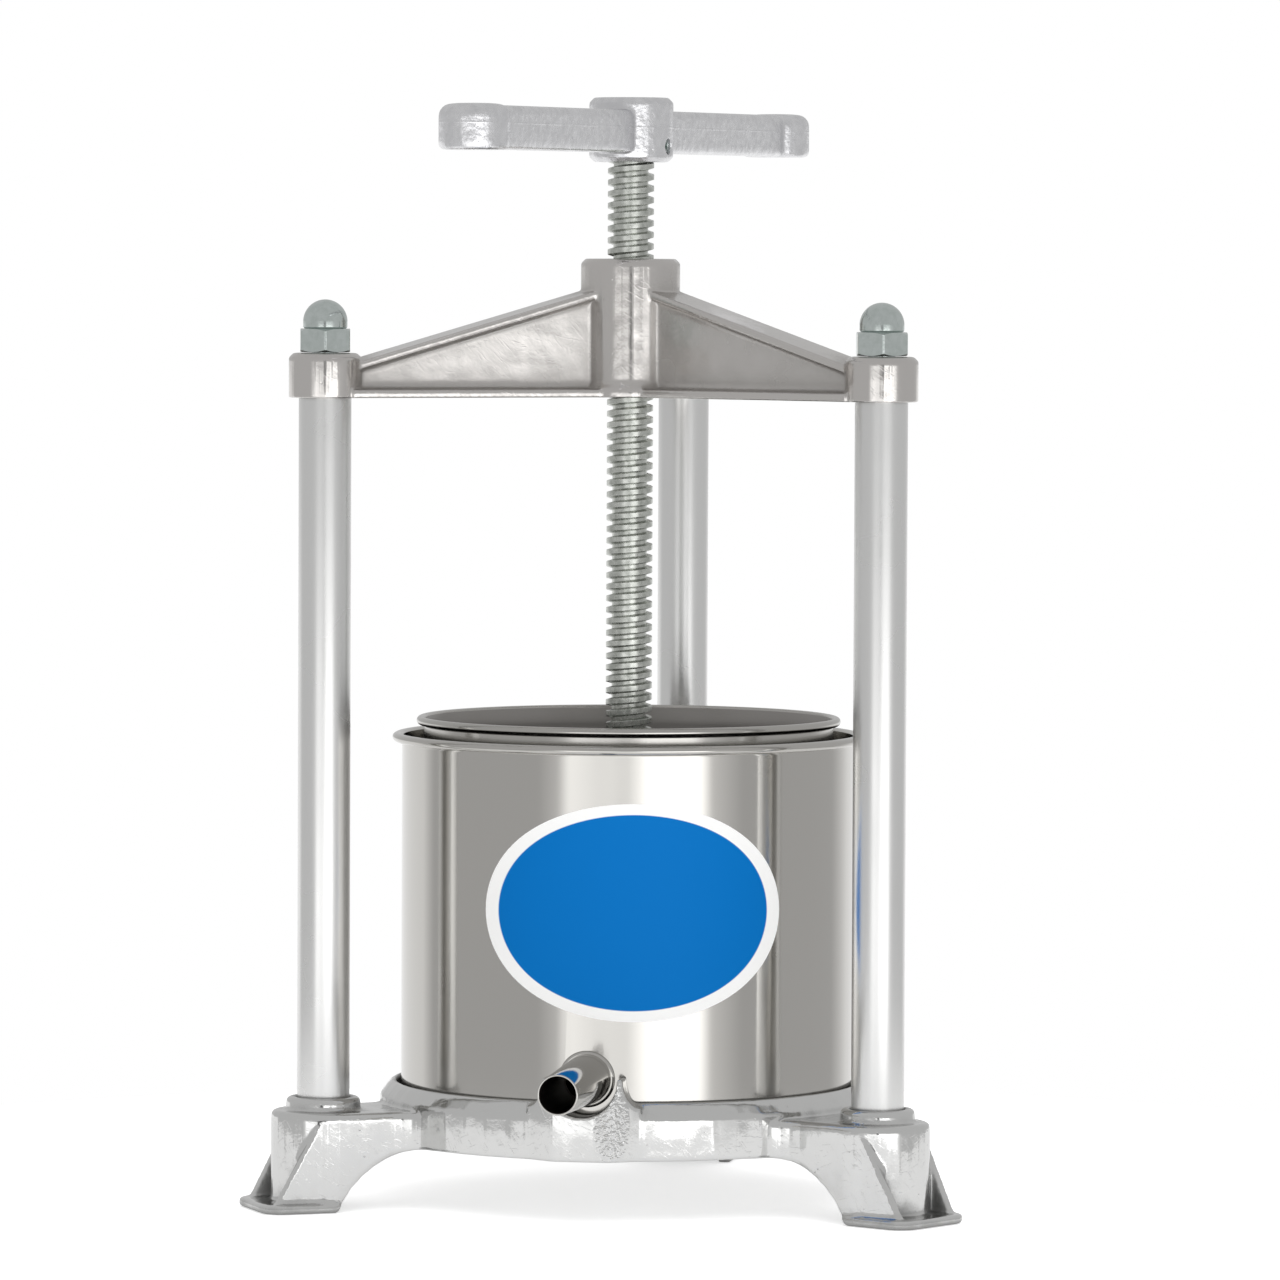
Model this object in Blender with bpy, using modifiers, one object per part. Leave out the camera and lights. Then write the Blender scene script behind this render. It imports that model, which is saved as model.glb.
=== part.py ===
"""Cheese press: a three-pillar screw press over a spouted vessel with a perforated basket.

Metres, +Z up. The feet stand on z = 0, the screw runs on the Z axis and the spout points
towards -Y. One leg and one pillar stand at the back (+Y), two at the front.
"""

import math

import bmesh
import bpy
from mathutils import Matrix, Vector

MM = 0.001
GAP = 0.3 * MM
OVERLAP = 3 * MM
STEPS_LARGE = 60
STEPS_MEDIUM = 32
STEPS_SMALL = 24
CUTTER_SKEW = 2.2

# Three legs, with a pillar on each
SIDES = {"back": 90, "left": 210, "right": 330}
PILLAR_STANDOFF = 25 * MM
PILLAR_R = 9 * MM
PILLAR_WALL = 2 * MM
PILLAR_CLEAR = 244.2 * MM
SOCKET_DEPTH = 3.5 * MM

# Tie rods with their nuts and washers
ROD_R = 5 * MM
NUT_FLATS = 17 * MM
NUT_H = 8 * MM
NUT_CORNER_CHAMFER = 0.9 * MM
ACORN_H = 18 * MM
ACORN_DOME_R = 7.6 * MM
ACORN_THREAD_DEPTH = 13 * MM
WASHER_R = 10 * MM
WASHER_T = 2 * MM
ROD_BELOW_NUT = 3 * MM

# Base casting
LEG_TOP = 34 * MM
LEG_HALF_W = 18 * MM
LEG_FILLET_R = 10 * MM
CAST_WALL = 4 * MM
LEG_ROOF_T = 5 * MM
CAST_EDGE_R = 1.6 * MM
BAND_OVERHANG = 7.4 * MM
BAND_LOW = 21.4 * MM
SHOULDER_RISE = 3 * MM
RIM_RISE = 7 * MM
RIM_W = 1.6 * MM
DISH_DROP = 1.5 * MM
SEAT_CLEARANCE = 1.6 * MM
ARCH_START_INSET = 7.5 * MM
ARCH_FOOT_OFFSET = 0.5 * MM
PAD_LENGTH = 26.5 * MM
PAD_T = 3.2 * MM
PAD_LIP = 0.8 * MM
PAD_CORNER_R = 8 * MM
PAD_EDGE_R = 1 * MM
COLLAR_R = 12.8 * MM
COLLAR_H = 4.5 * MM
FIN_T = 3 * MM
FIN_INSET = 0.6 * MM
FIN_TOP_DROP = 4.5 * MM
FIN_CREST_INSET = 2.5 * MM
FIN_END_INSET = 5.2 * MM
FIN_TURN = math.radians(6)
SADDLE_PROUD = 4 * MM
SADDLE_FRONT_HALF_W = 10 * MM
SADDLE_ROOT_HALF_W = 19.5 * MM
SADDLE_HORN_W = 3.6 * MM
SADDLE_HORN_RISE = 1.1 * MM
SADDLE_CLEARANCE = 3.5 * MM

# Vessel with its spout
VESSEL_R = 78.6 * MM
VESSEL_WALL = 0.8 * MM
VESSEL_H = 127.3 * MM
VESSEL_CORNER_R = 4 * MM
VESSEL_BEAD_W = 2 * MM
VESSEL_BEAD_H = 1.6 * MM
SPOUT_RISE = 15.8 * MM
SPOUT_ROOT_R = 8.5 * MM
SPOUT_TIP_R = 6.9 * MM
SPOUT_WALL = 0.7 * MM
SPOUT_REACH = 54.4 * MM
SPOUT_INSIDE = 1.6 * MM

# Perforated basket
BASKET_CLEARANCE = 7.6 * MM
BASKET_WALL = 0.9 * MM
BASKET_PROUD = 5.8 * MM
BASKET_BEAD_R = 1.5 * MM
LEDGE_RISE = 5 * MM
LEDGE_W = 7 * MM
STRAINER_T = 1.5 * MM
HOLE_R = 2 * MM
WALL_HOLE_ROWS = 4
WALL_HOLES_ROUND = 15
WALL_HOLE_PITCH = 24 * MM
WALL_HOLE_START = 18 * MM
FLOOR_HOLE_RINGS = {0.29: 6, 0.54: 12, 0.8: 18}
DRAIN_NOTCHES = 6
DRAIN_R = 3 * MM

# Yoke casting
YOKE_BOSS_R = 12.5 * MM
YOKE_BOSS_H = 15.3 * MM
YOKE_HUB_R = 17.2 * MM
YOKE_HUB_H = 47.8 * MM
YOKE_ARM_AT_HUB = 36.3 * MM
YOKE_ARM_AT_BOSS = 13.2 * MM
YOKE_WEB_T = 10 * MM
YOKE_TOP_W = 16 * MM
YOKE_TOP_T = 2.8 * MM
YOKE_LOW_W = 24 * MM
YOKE_LOW_T = 2.9 * MM
YOKE_FILLET_R = 2.2 * MM
YOKE_HUB_LEDGE = 1.8 * MM

# Press screw and its handle
SCREW_R = 8 * MM
SCREW_CHAMFER = 1.2 * MM
JOURNAL_R = 6 * MM
JOURNAL_L = 19 * MM
GROOVE_W = 4 * MM
GROOVE_DEPTH = 1.4 * MM
HANDLE_ABOVE_YOKE = 33.4 * MM
HANDLE_TURN = 76
HANDLE_HUB_R = 14.6 * MM
HANDLE_HUB_H = 22.3 * MM
HANDLE_HUB_CHAMFER = 1.8 * MM
HANDLE_CROWN_T = 4 * MM
HANDLE_ARM_H = 14.7 * MM
HANDLE_ARM_RISE = 3.2 * MM
HANDLE_ARM_HALF_W = 7 * MM
HANDLE_ARM_EDGE_R = 2 * MM
HANDLE_KNOB_R = 12 * MM
HANDLE_KNOB_AT = 128 * MM
HANDLE_KNOB_DOME = 0.6 * MM
HANDLE_KNOB_PROUD = 0.3 * MM
HANDLE_KNOB_EDGE_R = 4.2 * MM
HANDLE_KNOB_OVERLAP = 2.6 * MM
HANDLE_NECK_R = 12 * MM
ROLL_PIN_R = 2.4 * MM
ROLL_PIN_WALL = 0.8 * MM
ROLL_PIN_RECESS = 1.5 * MM
ROLL_PIN_RISE = 5.4 * MM

# Press plate
PLATE_CLEARANCE = 3.1 * MM
PLATE_T = 5 * MM
PLATE_EDGE_R = 1.2 * MM
PLATE_ABOVE_STRAINER = 64.3 * MM
PLATE_BOSS_R = 16 * MM
PLATE_BOSS_H = 20 * MM
PLATE_RIBS = 6
PLATE_RIB_T = 3.5 * MM
PLATE_RIB_H = 10 * MM
PLATE_RIB_INSET = 7 * MM
GRUB_R = 3 * MM
GRUB_TIP_R = 1.7 * MM
GRUB_KEY_DEPTH = 2.5 * MM

# Radii that follow from the vessel's
BAND_R = VESSEL_R + BAND_OVERHANG
SEAT_R = VESSEL_R + SEAT_CLEARANCE
SADDLE_FRONT_R = BAND_R + SADDLE_PROUD
PILLAR_CIRCLE_R = BAND_R + PILLAR_STANDOFF
PAD_REACH = PILLAR_CIRCLE_R + PAD_LENGTH
ARCH_START_R = BAND_R - ARCH_START_INSET
ARCH_FOOT_R = PILLAR_CIRCLE_R + ARCH_FOOT_OFFSET
BASKET_R = VESSEL_R - BASKET_CLEARANCE
BASKET_INNER_R = BASKET_R - BASKET_WALL
STRAINER_R = BASKET_INNER_R - GAP
PLATE_R = BASKET_INNER_R - PLATE_CLEARANCE
PLATE_RIB_END_R = PLATE_R - PLATE_RIB_INSET

# Heights that follow from the sizes above
COLLAR_TOP = LEG_TOP + COLLAR_H
SOCKET_FLOOR = COLLAR_TOP - SOCKET_DEPTH
LEG_CEILING = LEG_TOP - LEG_ROOF_T
DISH_TOP = LEG_TOP - DISH_DROP
SHOULDER_Z = LEG_TOP + SHOULDER_RISE
RIM_TOP = LEG_TOP + RIM_RISE
VESSEL_Z = DISH_TOP + GAP
VESSEL_FLOOR = VESSEL_Z + VESSEL_WALL
VESSEL_BEAD_Z = VESSEL_Z + VESSEL_H
SPOUT_Z = VESSEL_Z + SPOUT_RISE
BASKET_Z = VESSEL_FLOOR + GAP
BASKET_BEAD_Z = VESSEL_BEAD_Z + BASKET_PROUD
STRAINER_Z = BASKET_Z + LEDGE_RISE + BASKET_WALL + GAP
STRAINER_TOP = STRAINER_Z + STRAINER_T
YOKE_Z = LEG_TOP + PILLAR_CLEAR
YOKE_HUB_TOP = YOKE_Z + YOKE_HUB_H
YOKE_BOSS_TOP = YOKE_Z + YOKE_BOSS_H
HANDLE_Z = YOKE_HUB_TOP + HANDLE_ABOVE_YOKE
HANDLE_TOP = HANDLE_Z + HANDLE_HUB_H
PLATE_Z = STRAINER_TOP + PLATE_ABOVE_STRAINER
PLATE_BOSS_TOP = PLATE_Z + PLATE_T + PLATE_BOSS_H
JOURNAL_END = PLATE_BOSS_TOP + GAP - JOURNAL_L
GROOVE_Z = JOURNAL_END + JOURNAL_L / 2
ROLL_PIN_Z = HANDLE_Z + ROLL_PIN_RISE

FINISHES = {
    "cast_aluminium": ((0.62, 0.62, 0.62), 0.32, 1.0),
    "polished_tube": ((0.72, 0.72, 0.72), 0.22, 1.0),
    "stainless_sheet": ((0.60, 0.59, 0.57), 0.2, 1.0),
    "zinc_plated_steel": ((0.58, 0.60, 0.58), 0.3, 1.0),
}


def clear_scene():
    for obj in list(bpy.data.objects):
        bpy.data.objects.remove(obj, do_unlink=True)


def new_collection(name, hidden=False):
    collection = bpy.data.collections.new(name)
    collection.hide_render = hidden
    bpy.context.scene.collection.children.link(collection)
    return collection


def new_finish(name):
    color, roughness, metallic = FINISHES[name]
    material = bpy.data.materials.new(name)
    material.use_nodes = True
    shader = material.node_tree.nodes["Principled BSDF"]
    shader.inputs["Base Color"].default_value = (*color, 1)
    shader.inputs["Roughness"].default_value = roughness
    shader.inputs["Metallic"].default_value = metallic
    return material


def add_object(name, mesh, finish=None):
    """A mesh as a part with its own finish or, without one, as a hidden cutter."""
    obj = bpy.data.objects.new(name, mesh)
    if finish:
        parts.objects.link(obj)
        material = new_finish(finish)
        material.name = f"{name}_{finish}"
        mesh.materials.append(material)
    else:
        cutters.objects.link(obj)
        obj.hide_render = True
        obj.display_type = "WIRE"
    return obj


def arc(centre, radius, start, end, steps, squash=1.0):
    """Points on an arc between two angles in degrees, both ends included."""
    angles = [math.radians(start + (end - start) * i / steps) for i in range(steps + 1)]
    return [
        (centre[0] + radius * math.cos(a), centre[1] + radius * squash * math.sin(a))
        for a in angles
    ]


def rotated(points, degrees):
    turn = Matrix.Rotation(math.radians(degrees), 2)
    return [tuple(turn @ Vector(point)) for point in points]


def polar(radius, degrees, z=0.0):
    angle = math.radians(degrees)
    return Vector((radius * math.cos(angle), radius * math.sin(angle), z))


def turned(name, profile, finish=None, steps=STEPS_MEDIUM, place=None, ring=False):
    """A profile of (radius, height), down its outer side, swept round Z by a Screw."""
    shape = bmesh.new()
    verts = [shape.verts.new((radius, 0, height)) for radius, height in profile]
    for first, second in zip(verts, verts[1:]):
        shape.edges.new((first, second))
    if ring:
        shape.edges.new((verts[-1], verts[0]))
    mesh = bpy.data.meshes.new(name)
    shape.to_mesh(mesh)
    shape.free()
    obj = add_object(name, mesh, finish)
    screw = obj.modifiers.new("turn", "SCREW")
    screw.steps = screw.render_steps = steps
    screw.use_merge_vertices = True
    screw.merge_threshold = 0.000001
    screw.use_smooth_shade = True
    if place is not None:
        obj.matrix_world = place
    return obj


def bore(name, profile, steps=STEPS_MEDIUM, place=None):
    """A turned cutter, set round by a part of a step so that its edges cross those it meets."""
    skew = Matrix.Rotation(math.radians(CUTTER_SKEW), 4, "Z")
    return turned(name, profile, steps=steps, place=skew if place is None else place @ skew)


def cylinder(name, radius, low, high, steps=STEPS_MEDIUM, place=None):
    return bore(name, [(0, high), (radius, high), (radius, low), (0, low)], steps, place)


def prism(name, outlines, low, high, finish=None, place=None):
    """Flat closed outlines, holes among them, raised from low to high along their normal."""
    curve = bpy.data.curves.new(name, "CURVE")
    curve.dimensions = "2D"
    curve.fill_mode = "BOTH"
    curve.extrude = (high - low) / 2
    for outline in outlines:
        spline = curve.splines.new("POLY")
        spline.points.add(len(outline) - 1)
        for point, (x, y) in zip(spline.points, outline):
            point.co = (x, y, 0, 1)
        spline.use_cyclic_u = True
    guide = bpy.data.objects.new(name + "_outline", curve)
    cutters.objects.link(guide)
    graph = bpy.context.evaluated_depsgraph_get()
    mesh = bpy.data.meshes.new_from_object(guide.evaluated_get(graph))
    bpy.data.objects.remove(guide, do_unlink=True)
    mesh.transform(Matrix.Translation((0, 0, (high + low) / 2)))
    if place is not None:
        mesh.transform(place)
    tidy_mesh(mesh)
    mesh.name = name
    return add_object(name, mesh, finish)


def tidy_mesh(mesh):
    """Welds points that coincide and joins the faces that lie in one plane."""
    shape = bmesh.new()
    shape.from_mesh(mesh)
    bmesh.ops.remove_doubles(shape, verts=shape.verts, dist=0.000001)
    bmesh.ops.recalc_face_normals(shape, faces=shape.faces)
    flat = math.radians(0.05)
    bmesh.ops.dissolve_limit(shape, angle_limit=flat, verts=shape.verts, edges=shape.edges)
    shape.to_mesh(mesh)
    shape.free()


def loft(name, sections, place=None):
    """Closed sections of equal point counts joined in turn, with both ends filled."""
    shape = bmesh.new()
    loops = []
    for section in sections:
        verts = [shape.verts.new(point) for point in section]
        loops.append([shape.edges.new((verts[i - 1], verts[i])) for i in range(len(verts))])
    for first, second in zip(loops, loops[1:]):
        bmesh.ops.bridge_loops(shape, edges=first + second)
    bmesh.ops.holes_fill(shape, edges=loops[0] + loops[-1], sides=0)
    bmesh.ops.recalc_face_normals(shape, faces=shape.faces)
    mesh = bpy.data.meshes.new(name)
    shape.to_mesh(mesh)
    shape.free()
    if place is not None:
        mesh.transform(place)
    return add_object(name, mesh)


def merged(name, objects):
    """Separate closed shapes as one cutter mesh."""
    shape = bmesh.new()
    graph = bpy.context.evaluated_depsgraph_get()
    for obj in objects:
        mesh = bpy.data.meshes.new_from_object(obj.evaluated_get(graph))
        mesh.transform(obj.matrix_world)
        shape.from_mesh(mesh)
        bpy.data.meshes.remove(mesh)
        bpy.data.objects.remove(obj, do_unlink=True)
    mesh = bpy.data.meshes.new(name)
    shape.to_mesh(mesh)
    shape.free()
    return add_object(name, mesh)


def combine(obj, operation, *others):
    """Joins, cuts or intersects the object with the others, and settles it after each."""
    for other in others:
        settle(other)
        settle(obj)
        modifier = obj.modifiers.new(other.name, "BOOLEAN")
        modifier.operation = operation
        modifier.solver = "EXACT"
        modifier.object = other
    settle(obj)


def settle(obj):
    """Bakes the modifiers into the mesh and tidies it."""
    if not obj.modifiers:
        return
    graph = bpy.context.evaluated_depsgraph_get()
    mesh = bpy.data.meshes.new_from_object(obj.evaluated_get(graph))
    obj.modifiers.clear()
    tidy_mesh(mesh)
    obj.data = mesh


def round_edges(obj, width, segments=2, angle=40):
    bevel = obj.modifiers.new("edges", "BEVEL")
    bevel.width = width
    bevel.segments = segments
    bevel.limit_method = "ANGLE"
    bevel.angle_limit = math.radians(angle)
    bevel.harden_normals = False


def along(degrees, x=0.0, y=0.0, z=0.0):
    """The frame of a leg or arm: its X axis points outwards at this angle."""
    turn = Matrix.Rotation(math.radians(degrees), 4, "Z")
    return turn @ Matrix.Translation((x, y, z))


def upright(degrees, y=0.0):
    """Like along, for a flat outline drawn in (outwards, up), with its thickness sideways."""
    return along(degrees, y=y) @ Matrix.Rotation(math.radians(90), 4, "X")


def facing_front(degrees=-90):
    """The frame of a shape turned about its own Z, laid level and pointing at this angle."""
    return along(degrees) @ Matrix.Rotation(math.radians(90), 4, "Y")


def leg_outline(ring_r, half_w, fillet_r):
    """The base in plan: a ring that flows into three legs with round ends."""
    side = half_w + fillet_r
    centre_x = math.sqrt((ring_r + fillet_r) ** 2 - side**2)
    lean = math.degrees(math.atan2(side, centre_x))
    points = []
    for degrees in SIDES.values():
        leg = arc((centre_x, -side), fillet_r, 180 - lean, 90, 4)
        leg += arc((PILLAR_CIRCLE_R, 0), half_w, -90, 90, 14)
        leg += arc((centre_x, side), fillet_r, -90, lean - 180, 4)
        leg += arc((0, 0), ring_r, lean, 120 - lean, 10)[1:-1]
        points += rotated(leg, degrees)
    return points


def arch_section():
    """The opening under a leg: flat under the band, then a circular arc down past the ground."""
    run = ARCH_FOOT_R - ARCH_START_R
    turn = 2 * math.degrees(math.atan2(BAND_LOW, run))
    radius = run / math.sin(math.radians(turn))
    centre = (ARCH_START_R, BAND_LOW - radius)
    sweep = arc(centre, radius, 80 - turn, 90, 9)
    inner = BAND_R / 3
    return sweep + [(inner, BAND_LOW), (inner, sweep[0][1])]


def pad_outline():
    half = LEG_HALF_W + PAD_LIP
    corner_x = PAD_REACH - PAD_CORNER_R
    corner_y = half - PAD_CORNER_R
    inner = ARCH_FOOT_R - CAST_WALL
    outline = [(inner, -half)]
    outline += arc((corner_x, -corner_y), PAD_CORNER_R, -90, 0, 5)
    outline += arc((corner_x, corner_y), PAD_CORNER_R, 0, 90, 5)
    return outline + [(inner, half)]


def fin_section():
    root = PILLAR_CIRCLE_R
    top = LEG_TOP - FIN_TOP_DROP
    crest = PILLAR_CIRCLE_R + math.sqrt(LEG_HALF_W**2 - (LEG_HALF_W - FIN_T) ** 2) - FIN_CREST_INSET
    tip = PAD_REACH - FIN_END_INSET
    return [(root, PAD_T / 2), (tip, PAD_T / 2), (tip, PAD_T + PAD_EDGE_R), (crest, top), (root, top)]


def saddle_shape():
    """The block under the spout, with a horn on each side: one outline from the front, one in plan."""
    cradle_r = SPOUT_ROOT_R + SADDLE_CLEARANCE
    horn_in = cradle_r - SADDLE_HORN_W / 2
    horn_out = horn_in + SADDLE_HORN_W
    horn_top = SPOUT_Z + SADDLE_HORN_RISE
    flare_r = SADDLE_ROOT_HALF_W - horn_out
    flare_foot = RIM_TOP - SHOULDER_RISE / 2
    right = [(SADDLE_ROOT_HALF_W, BAND_LOW), (SADDLE_ROOT_HALF_W, flare_foot)]
    squash = (horn_top - flare_foot) / flare_r
    right += arc((SADDLE_ROOT_HALF_W, horn_top), flare_r, -90, -180, 6, squash)
    front = right + [(-x, z) for x, z in reversed(right)]
    root_r = SEAT_R - OVERLAP
    plan = [
        (-SADDLE_ROOT_HALF_W, -root_r),
        (-SADDLE_ROOT_HALF_W, -math.sqrt(BAND_R**2 - SADDLE_ROOT_HALF_W**2)),
        (-SADDLE_FRONT_HALF_W, -SADDLE_FRONT_R),
        (SADDLE_FRONT_HALF_W, -SADDLE_FRONT_R),
        (SADDLE_ROOT_HALF_W, -math.sqrt(BAND_R**2 - SADDLE_ROOT_HALF_W**2)),
        (SADDLE_ROOT_HALF_W, -root_r),
    ]
    block = prism("saddle_plan", [plan], BAND_LOW - OVERLAP, horn_top + OVERLAP)
    face = prism(
        "saddle_front",
        [front],
        SEAT_R - 2 * OVERLAP,
        SADDLE_FRONT_R + OVERLAP,
        place=Matrix.Rotation(math.radians(90), 4, "X"),
    )
    combine(block, "INTERSECT", face)
    return block


def make_base():
    base = prism(
        "base_casting",
        [leg_outline(BAND_R - GAP, LEG_HALF_W, LEG_FILLET_R)],
        0,
        LEG_TOP,
        "cast_aluminium",
    )
    round_edges(base, CAST_EDGE_R)
    rim_in = SEAT_R - OVERLAP
    rim_out = SEAT_R + RIM_W
    shoulder = turned(
        "base_shoulder",
        [
            (rim_in, RIM_TOP),
            (rim_out, RIM_TOP),
            (rim_out + RIM_W, RIM_TOP - RIM_W),
            (BAND_R - RIM_W / 2, SHOULDER_Z),
            (BAND_R, SHOULDER_Z - RIM_W / 2),
            (BAND_R, BAND_LOW - OVERLAP),
            (rim_in, BAND_LOW - OVERLAP),
        ],
        steps=STEPS_LARGE,
        ring=True,
    )
    cradle = cylinder(
        "spout_cradle",
        SPOUT_ROOT_R + SADDLE_CLEARANCE,
        SEAT_R - 2 * OVERLAP,
        SADDLE_FRONT_R + OVERLAP,
        place=Matrix.Translation((0, 0, SPOUT_Z)) @ facing_front(),
    )
    combine(shoulder, "UNION", saddle_shape())
    combine(shoulder, "DIFFERENCE", cradle)
    combine(base, "UNION", shoulder)
    for side, degrees in SIDES.items():
        make_leg_details(base, side, degrees)
    cavity = prism(
        "base_cavity",
        [leg_outline(BAND_R - CAST_WALL, LEG_HALF_W - CAST_WALL, LEG_FILLET_R + CAST_WALL)],
        -OVERLAP,
        LEG_CEILING,
    )
    seat = cylinder("base_seat", SEAT_R, DISH_TOP, SPOUT_Z * 2, STEPS_LARGE)
    combine(base, "DIFFERENCE", cavity, seat)
    for side, degrees in SIDES.items():
        cut_leg_openings(base, side, degrees)


def make_leg_details(base, side, degrees):
    """The pad, the collar and the two fins that stand on one leg."""
    pad = prism(f"pad_{side}", [pad_outline()], 0, PAD_T, place=along(degrees))
    round_edges(pad, PAD_EDGE_R)
    collar = turned(
        f"collar_{side}",
        [
            (0, COLLAR_TOP),
            (COLLAR_R - PAD_EDGE_R, COLLAR_TOP),
            (COLLAR_R, COLLAR_TOP - PAD_EDGE_R),
            (COLLAR_R, LEG_CEILING + OVERLAP / 2),
            (0, LEG_CEILING + OVERLAP / 2),
        ],
        place=Matrix.Translation(polar(PILLAR_CIRCLE_R, degrees)),
    )
    combine(base, "UNION", pad, collar)
    for hand in (-1, 1):
        offset = LEG_HALF_W - FIN_INSET - FIN_T / 2
        hinge = Matrix.Translation((PILLAR_CIRCLE_R, hand * offset, 0))
        lean = Matrix.Rotation(-hand * FIN_TURN, 4, "Z")
        place = along(degrees) @ hinge @ lean @ hinge.inverted() @ upright(0, hand * offset)
        fin = prism(f"fin_{side}_{hand + 1}", [fin_section()], -FIN_T / 2, FIN_T / 2, place=place)
        combine(base, "UNION", fin)


def cut_leg_openings(base, side, degrees):
    """The arch under one leg, the pillar's socket and the hole for its tie rod."""
    reach = BAND_R * math.sin(math.radians(60)) + GAP
    arch = prism(f"arch_{side}", [arch_section()], -reach, reach, place=upright(degrees))
    centre = Matrix.Translation(polar(PILLAR_CIRCLE_R, degrees))
    top = COLLAR_TOP + OVERLAP
    socket = [
        (0, top),
        (PILLAR_R + GAP, top),
        (PILLAR_R + GAP, SOCKET_FLOOR),
        (ROD_R + GAP, SOCKET_FLOOR),
        (ROD_R + GAP, LEG_CEILING - OVERLAP),
        (0, LEG_CEILING - OVERLAP),
    ]
    centre = Matrix.Translation(polar(PILLAR_CIRCLE_R, degrees))
    hole = bore(f"base_socket_{side}", socket, STEPS_SMALL, centre)
    combine(base, "DIFFERENCE", arch, hole)


def make_pillars():
    for side, degrees in SIDES.items():
        centre = Matrix.Translation(polar(PILLAR_CIRCLE_R, degrees))
        low = SOCKET_FLOOR + GAP
        high = YOKE_Z + SOCKET_DEPTH - GAP
        inner = PILLAR_R - PILLAR_WALL
        turned(
            f"pillar_tube_{side}",
            [(inner, high), (PILLAR_R, high), (PILLAR_R, low), (inner, low)],
            "polished_tube",
            STEPS_SMALL,
            centre,
            ring=True,
        )
        make_tie_rod(side, centre)


def make_tie_rod(side, centre):
    """One tie rod, its acorn nut on the yoke and its washer and nut inside the leg."""
    washer_top = LEG_CEILING - GAP
    nut_top = washer_top - WASHER_T - GAP
    rod_low = nut_top - NUT_H - ROD_BELOW_NUT
    acorn_low = YOKE_BOSS_TOP + GAP
    rod_high = acorn_low + ACORN_THREAD_DEPTH - GAP
    chamfer = ROD_R / 6
    rod = [
        (0, rod_high),
        (ROD_R - chamfer, rod_high),
        (ROD_R, rod_high - chamfer),
        (ROD_R, rod_low + chamfer),
        (ROD_R - chamfer, rod_low),
        (0, rod_low),
    ]
    turned(f"tie_rod_{side}", rod, "zinc_plated_steel", STEPS_SMALL, centre)
    washer_low = washer_top - WASHER_T
    hole_r = ROD_R + GAP
    washer = [(hole_r, washer_top), (WASHER_R, washer_top), (WASHER_R, washer_low), (hole_r, washer_low)]
    turned(f"base_washer_{side}", washer, "zinc_plated_steel", STEPS_SMALL, centre, ring=True)
    nut = make_hexagon(f"base_nut_{side}", nut_top - NUT_H, nut_top, centre)
    low = rod_low - OVERLAP
    high = nut_top + OVERLAP
    hole = cylinder(f"base_nut_bore_{side}", hole_r, low, high, STEPS_SMALL, centre)
    combine(nut, "DIFFERENCE", hole)
    make_acorn_nut(side, centre, acorn_low)


def make_hexagon(name, low, high, centre):
    """A hexagonal prism whose corners are turned back at both ends, as on a nut."""
    corner_r = NUT_FLATS / math.sqrt(3)
    outline = arc((0, 0), corner_r, 0, 300, 5)
    nut = prism(name, [outline], low, high, "zinc_plated_steel", centre)
    flat_r = NUT_FLATS / 2
    rounder = turned(
        name + "_rounder",
        [
            (0, high + NUT_CORNER_CHAMFER),
            (flat_r - NUT_CORNER_CHAMFER, high + NUT_CORNER_CHAMFER),
            (corner_r + NUT_CORNER_CHAMFER, high - NUT_CORNER_CHAMFER),
            (corner_r + NUT_CORNER_CHAMFER, low + NUT_CORNER_CHAMFER),
            (flat_r - NUT_CORNER_CHAMFER, low - NUT_CORNER_CHAMFER),
            (0, low - NUT_CORNER_CHAMFER),
        ],
        steps=STEPS_SMALL,
        place=centre,
    )
    combine(nut, "INTERSECT", rounder)
    return nut


def make_acorn_nut(side, centre, low):
    nut = make_hexagon(f"acorn_nut_{side}", low, low + NUT_H, centre)
    dome_low = low + ACORN_H - ACORN_DOME_R
    dome = arc((0, dome_low), ACORN_DOME_R, 90, 0, 5)
    dome += [(ACORN_DOME_R, low + NUT_H / 2), (0, low + NUT_H / 2)]
    cap = turned(f"acorn_dome_{side}", dome, steps=STEPS_SMALL, place=centre)
    deep = low + ACORN_THREAD_DEPTH
    hole = cylinder(f"acorn_bore_{side}", ROD_R + GAP, low - OVERLAP, deep, STEPS_SMALL, centre)
    combine(nut, "UNION", cap)
    combine(nut, "DIFFERENCE", hole)


def arm_section(x, height):
    """The yoke arm's I-section at x: a wide lower flange, a web, fillets and an upper flange."""
    low = YOKE_Z
    high = YOKE_Z + height
    web = YOKE_WEB_T / 2
    fillet = YOKE_FILLET_R
    low_fillet = (web + fillet, low + YOKE_LOW_T + fillet)
    top_fillet = (web + fillet, high - YOKE_TOP_T - fillet)
    right = [(YOKE_LOW_W / 2, low), (YOKE_LOW_W / 2, low + YOKE_LOW_T)]
    right += arc(low_fillet, fillet, -90, -180, 4)
    right += arc(top_fillet, fillet, 180, 90, 4)
    right += [(YOKE_TOP_W / 2, high - YOKE_TOP_T), (YOKE_TOP_W / 2, high)]
    outline = right + [(-y, z) for y, z in reversed(right)]
    return [(x, y, z) for y, z in outline]


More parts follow.
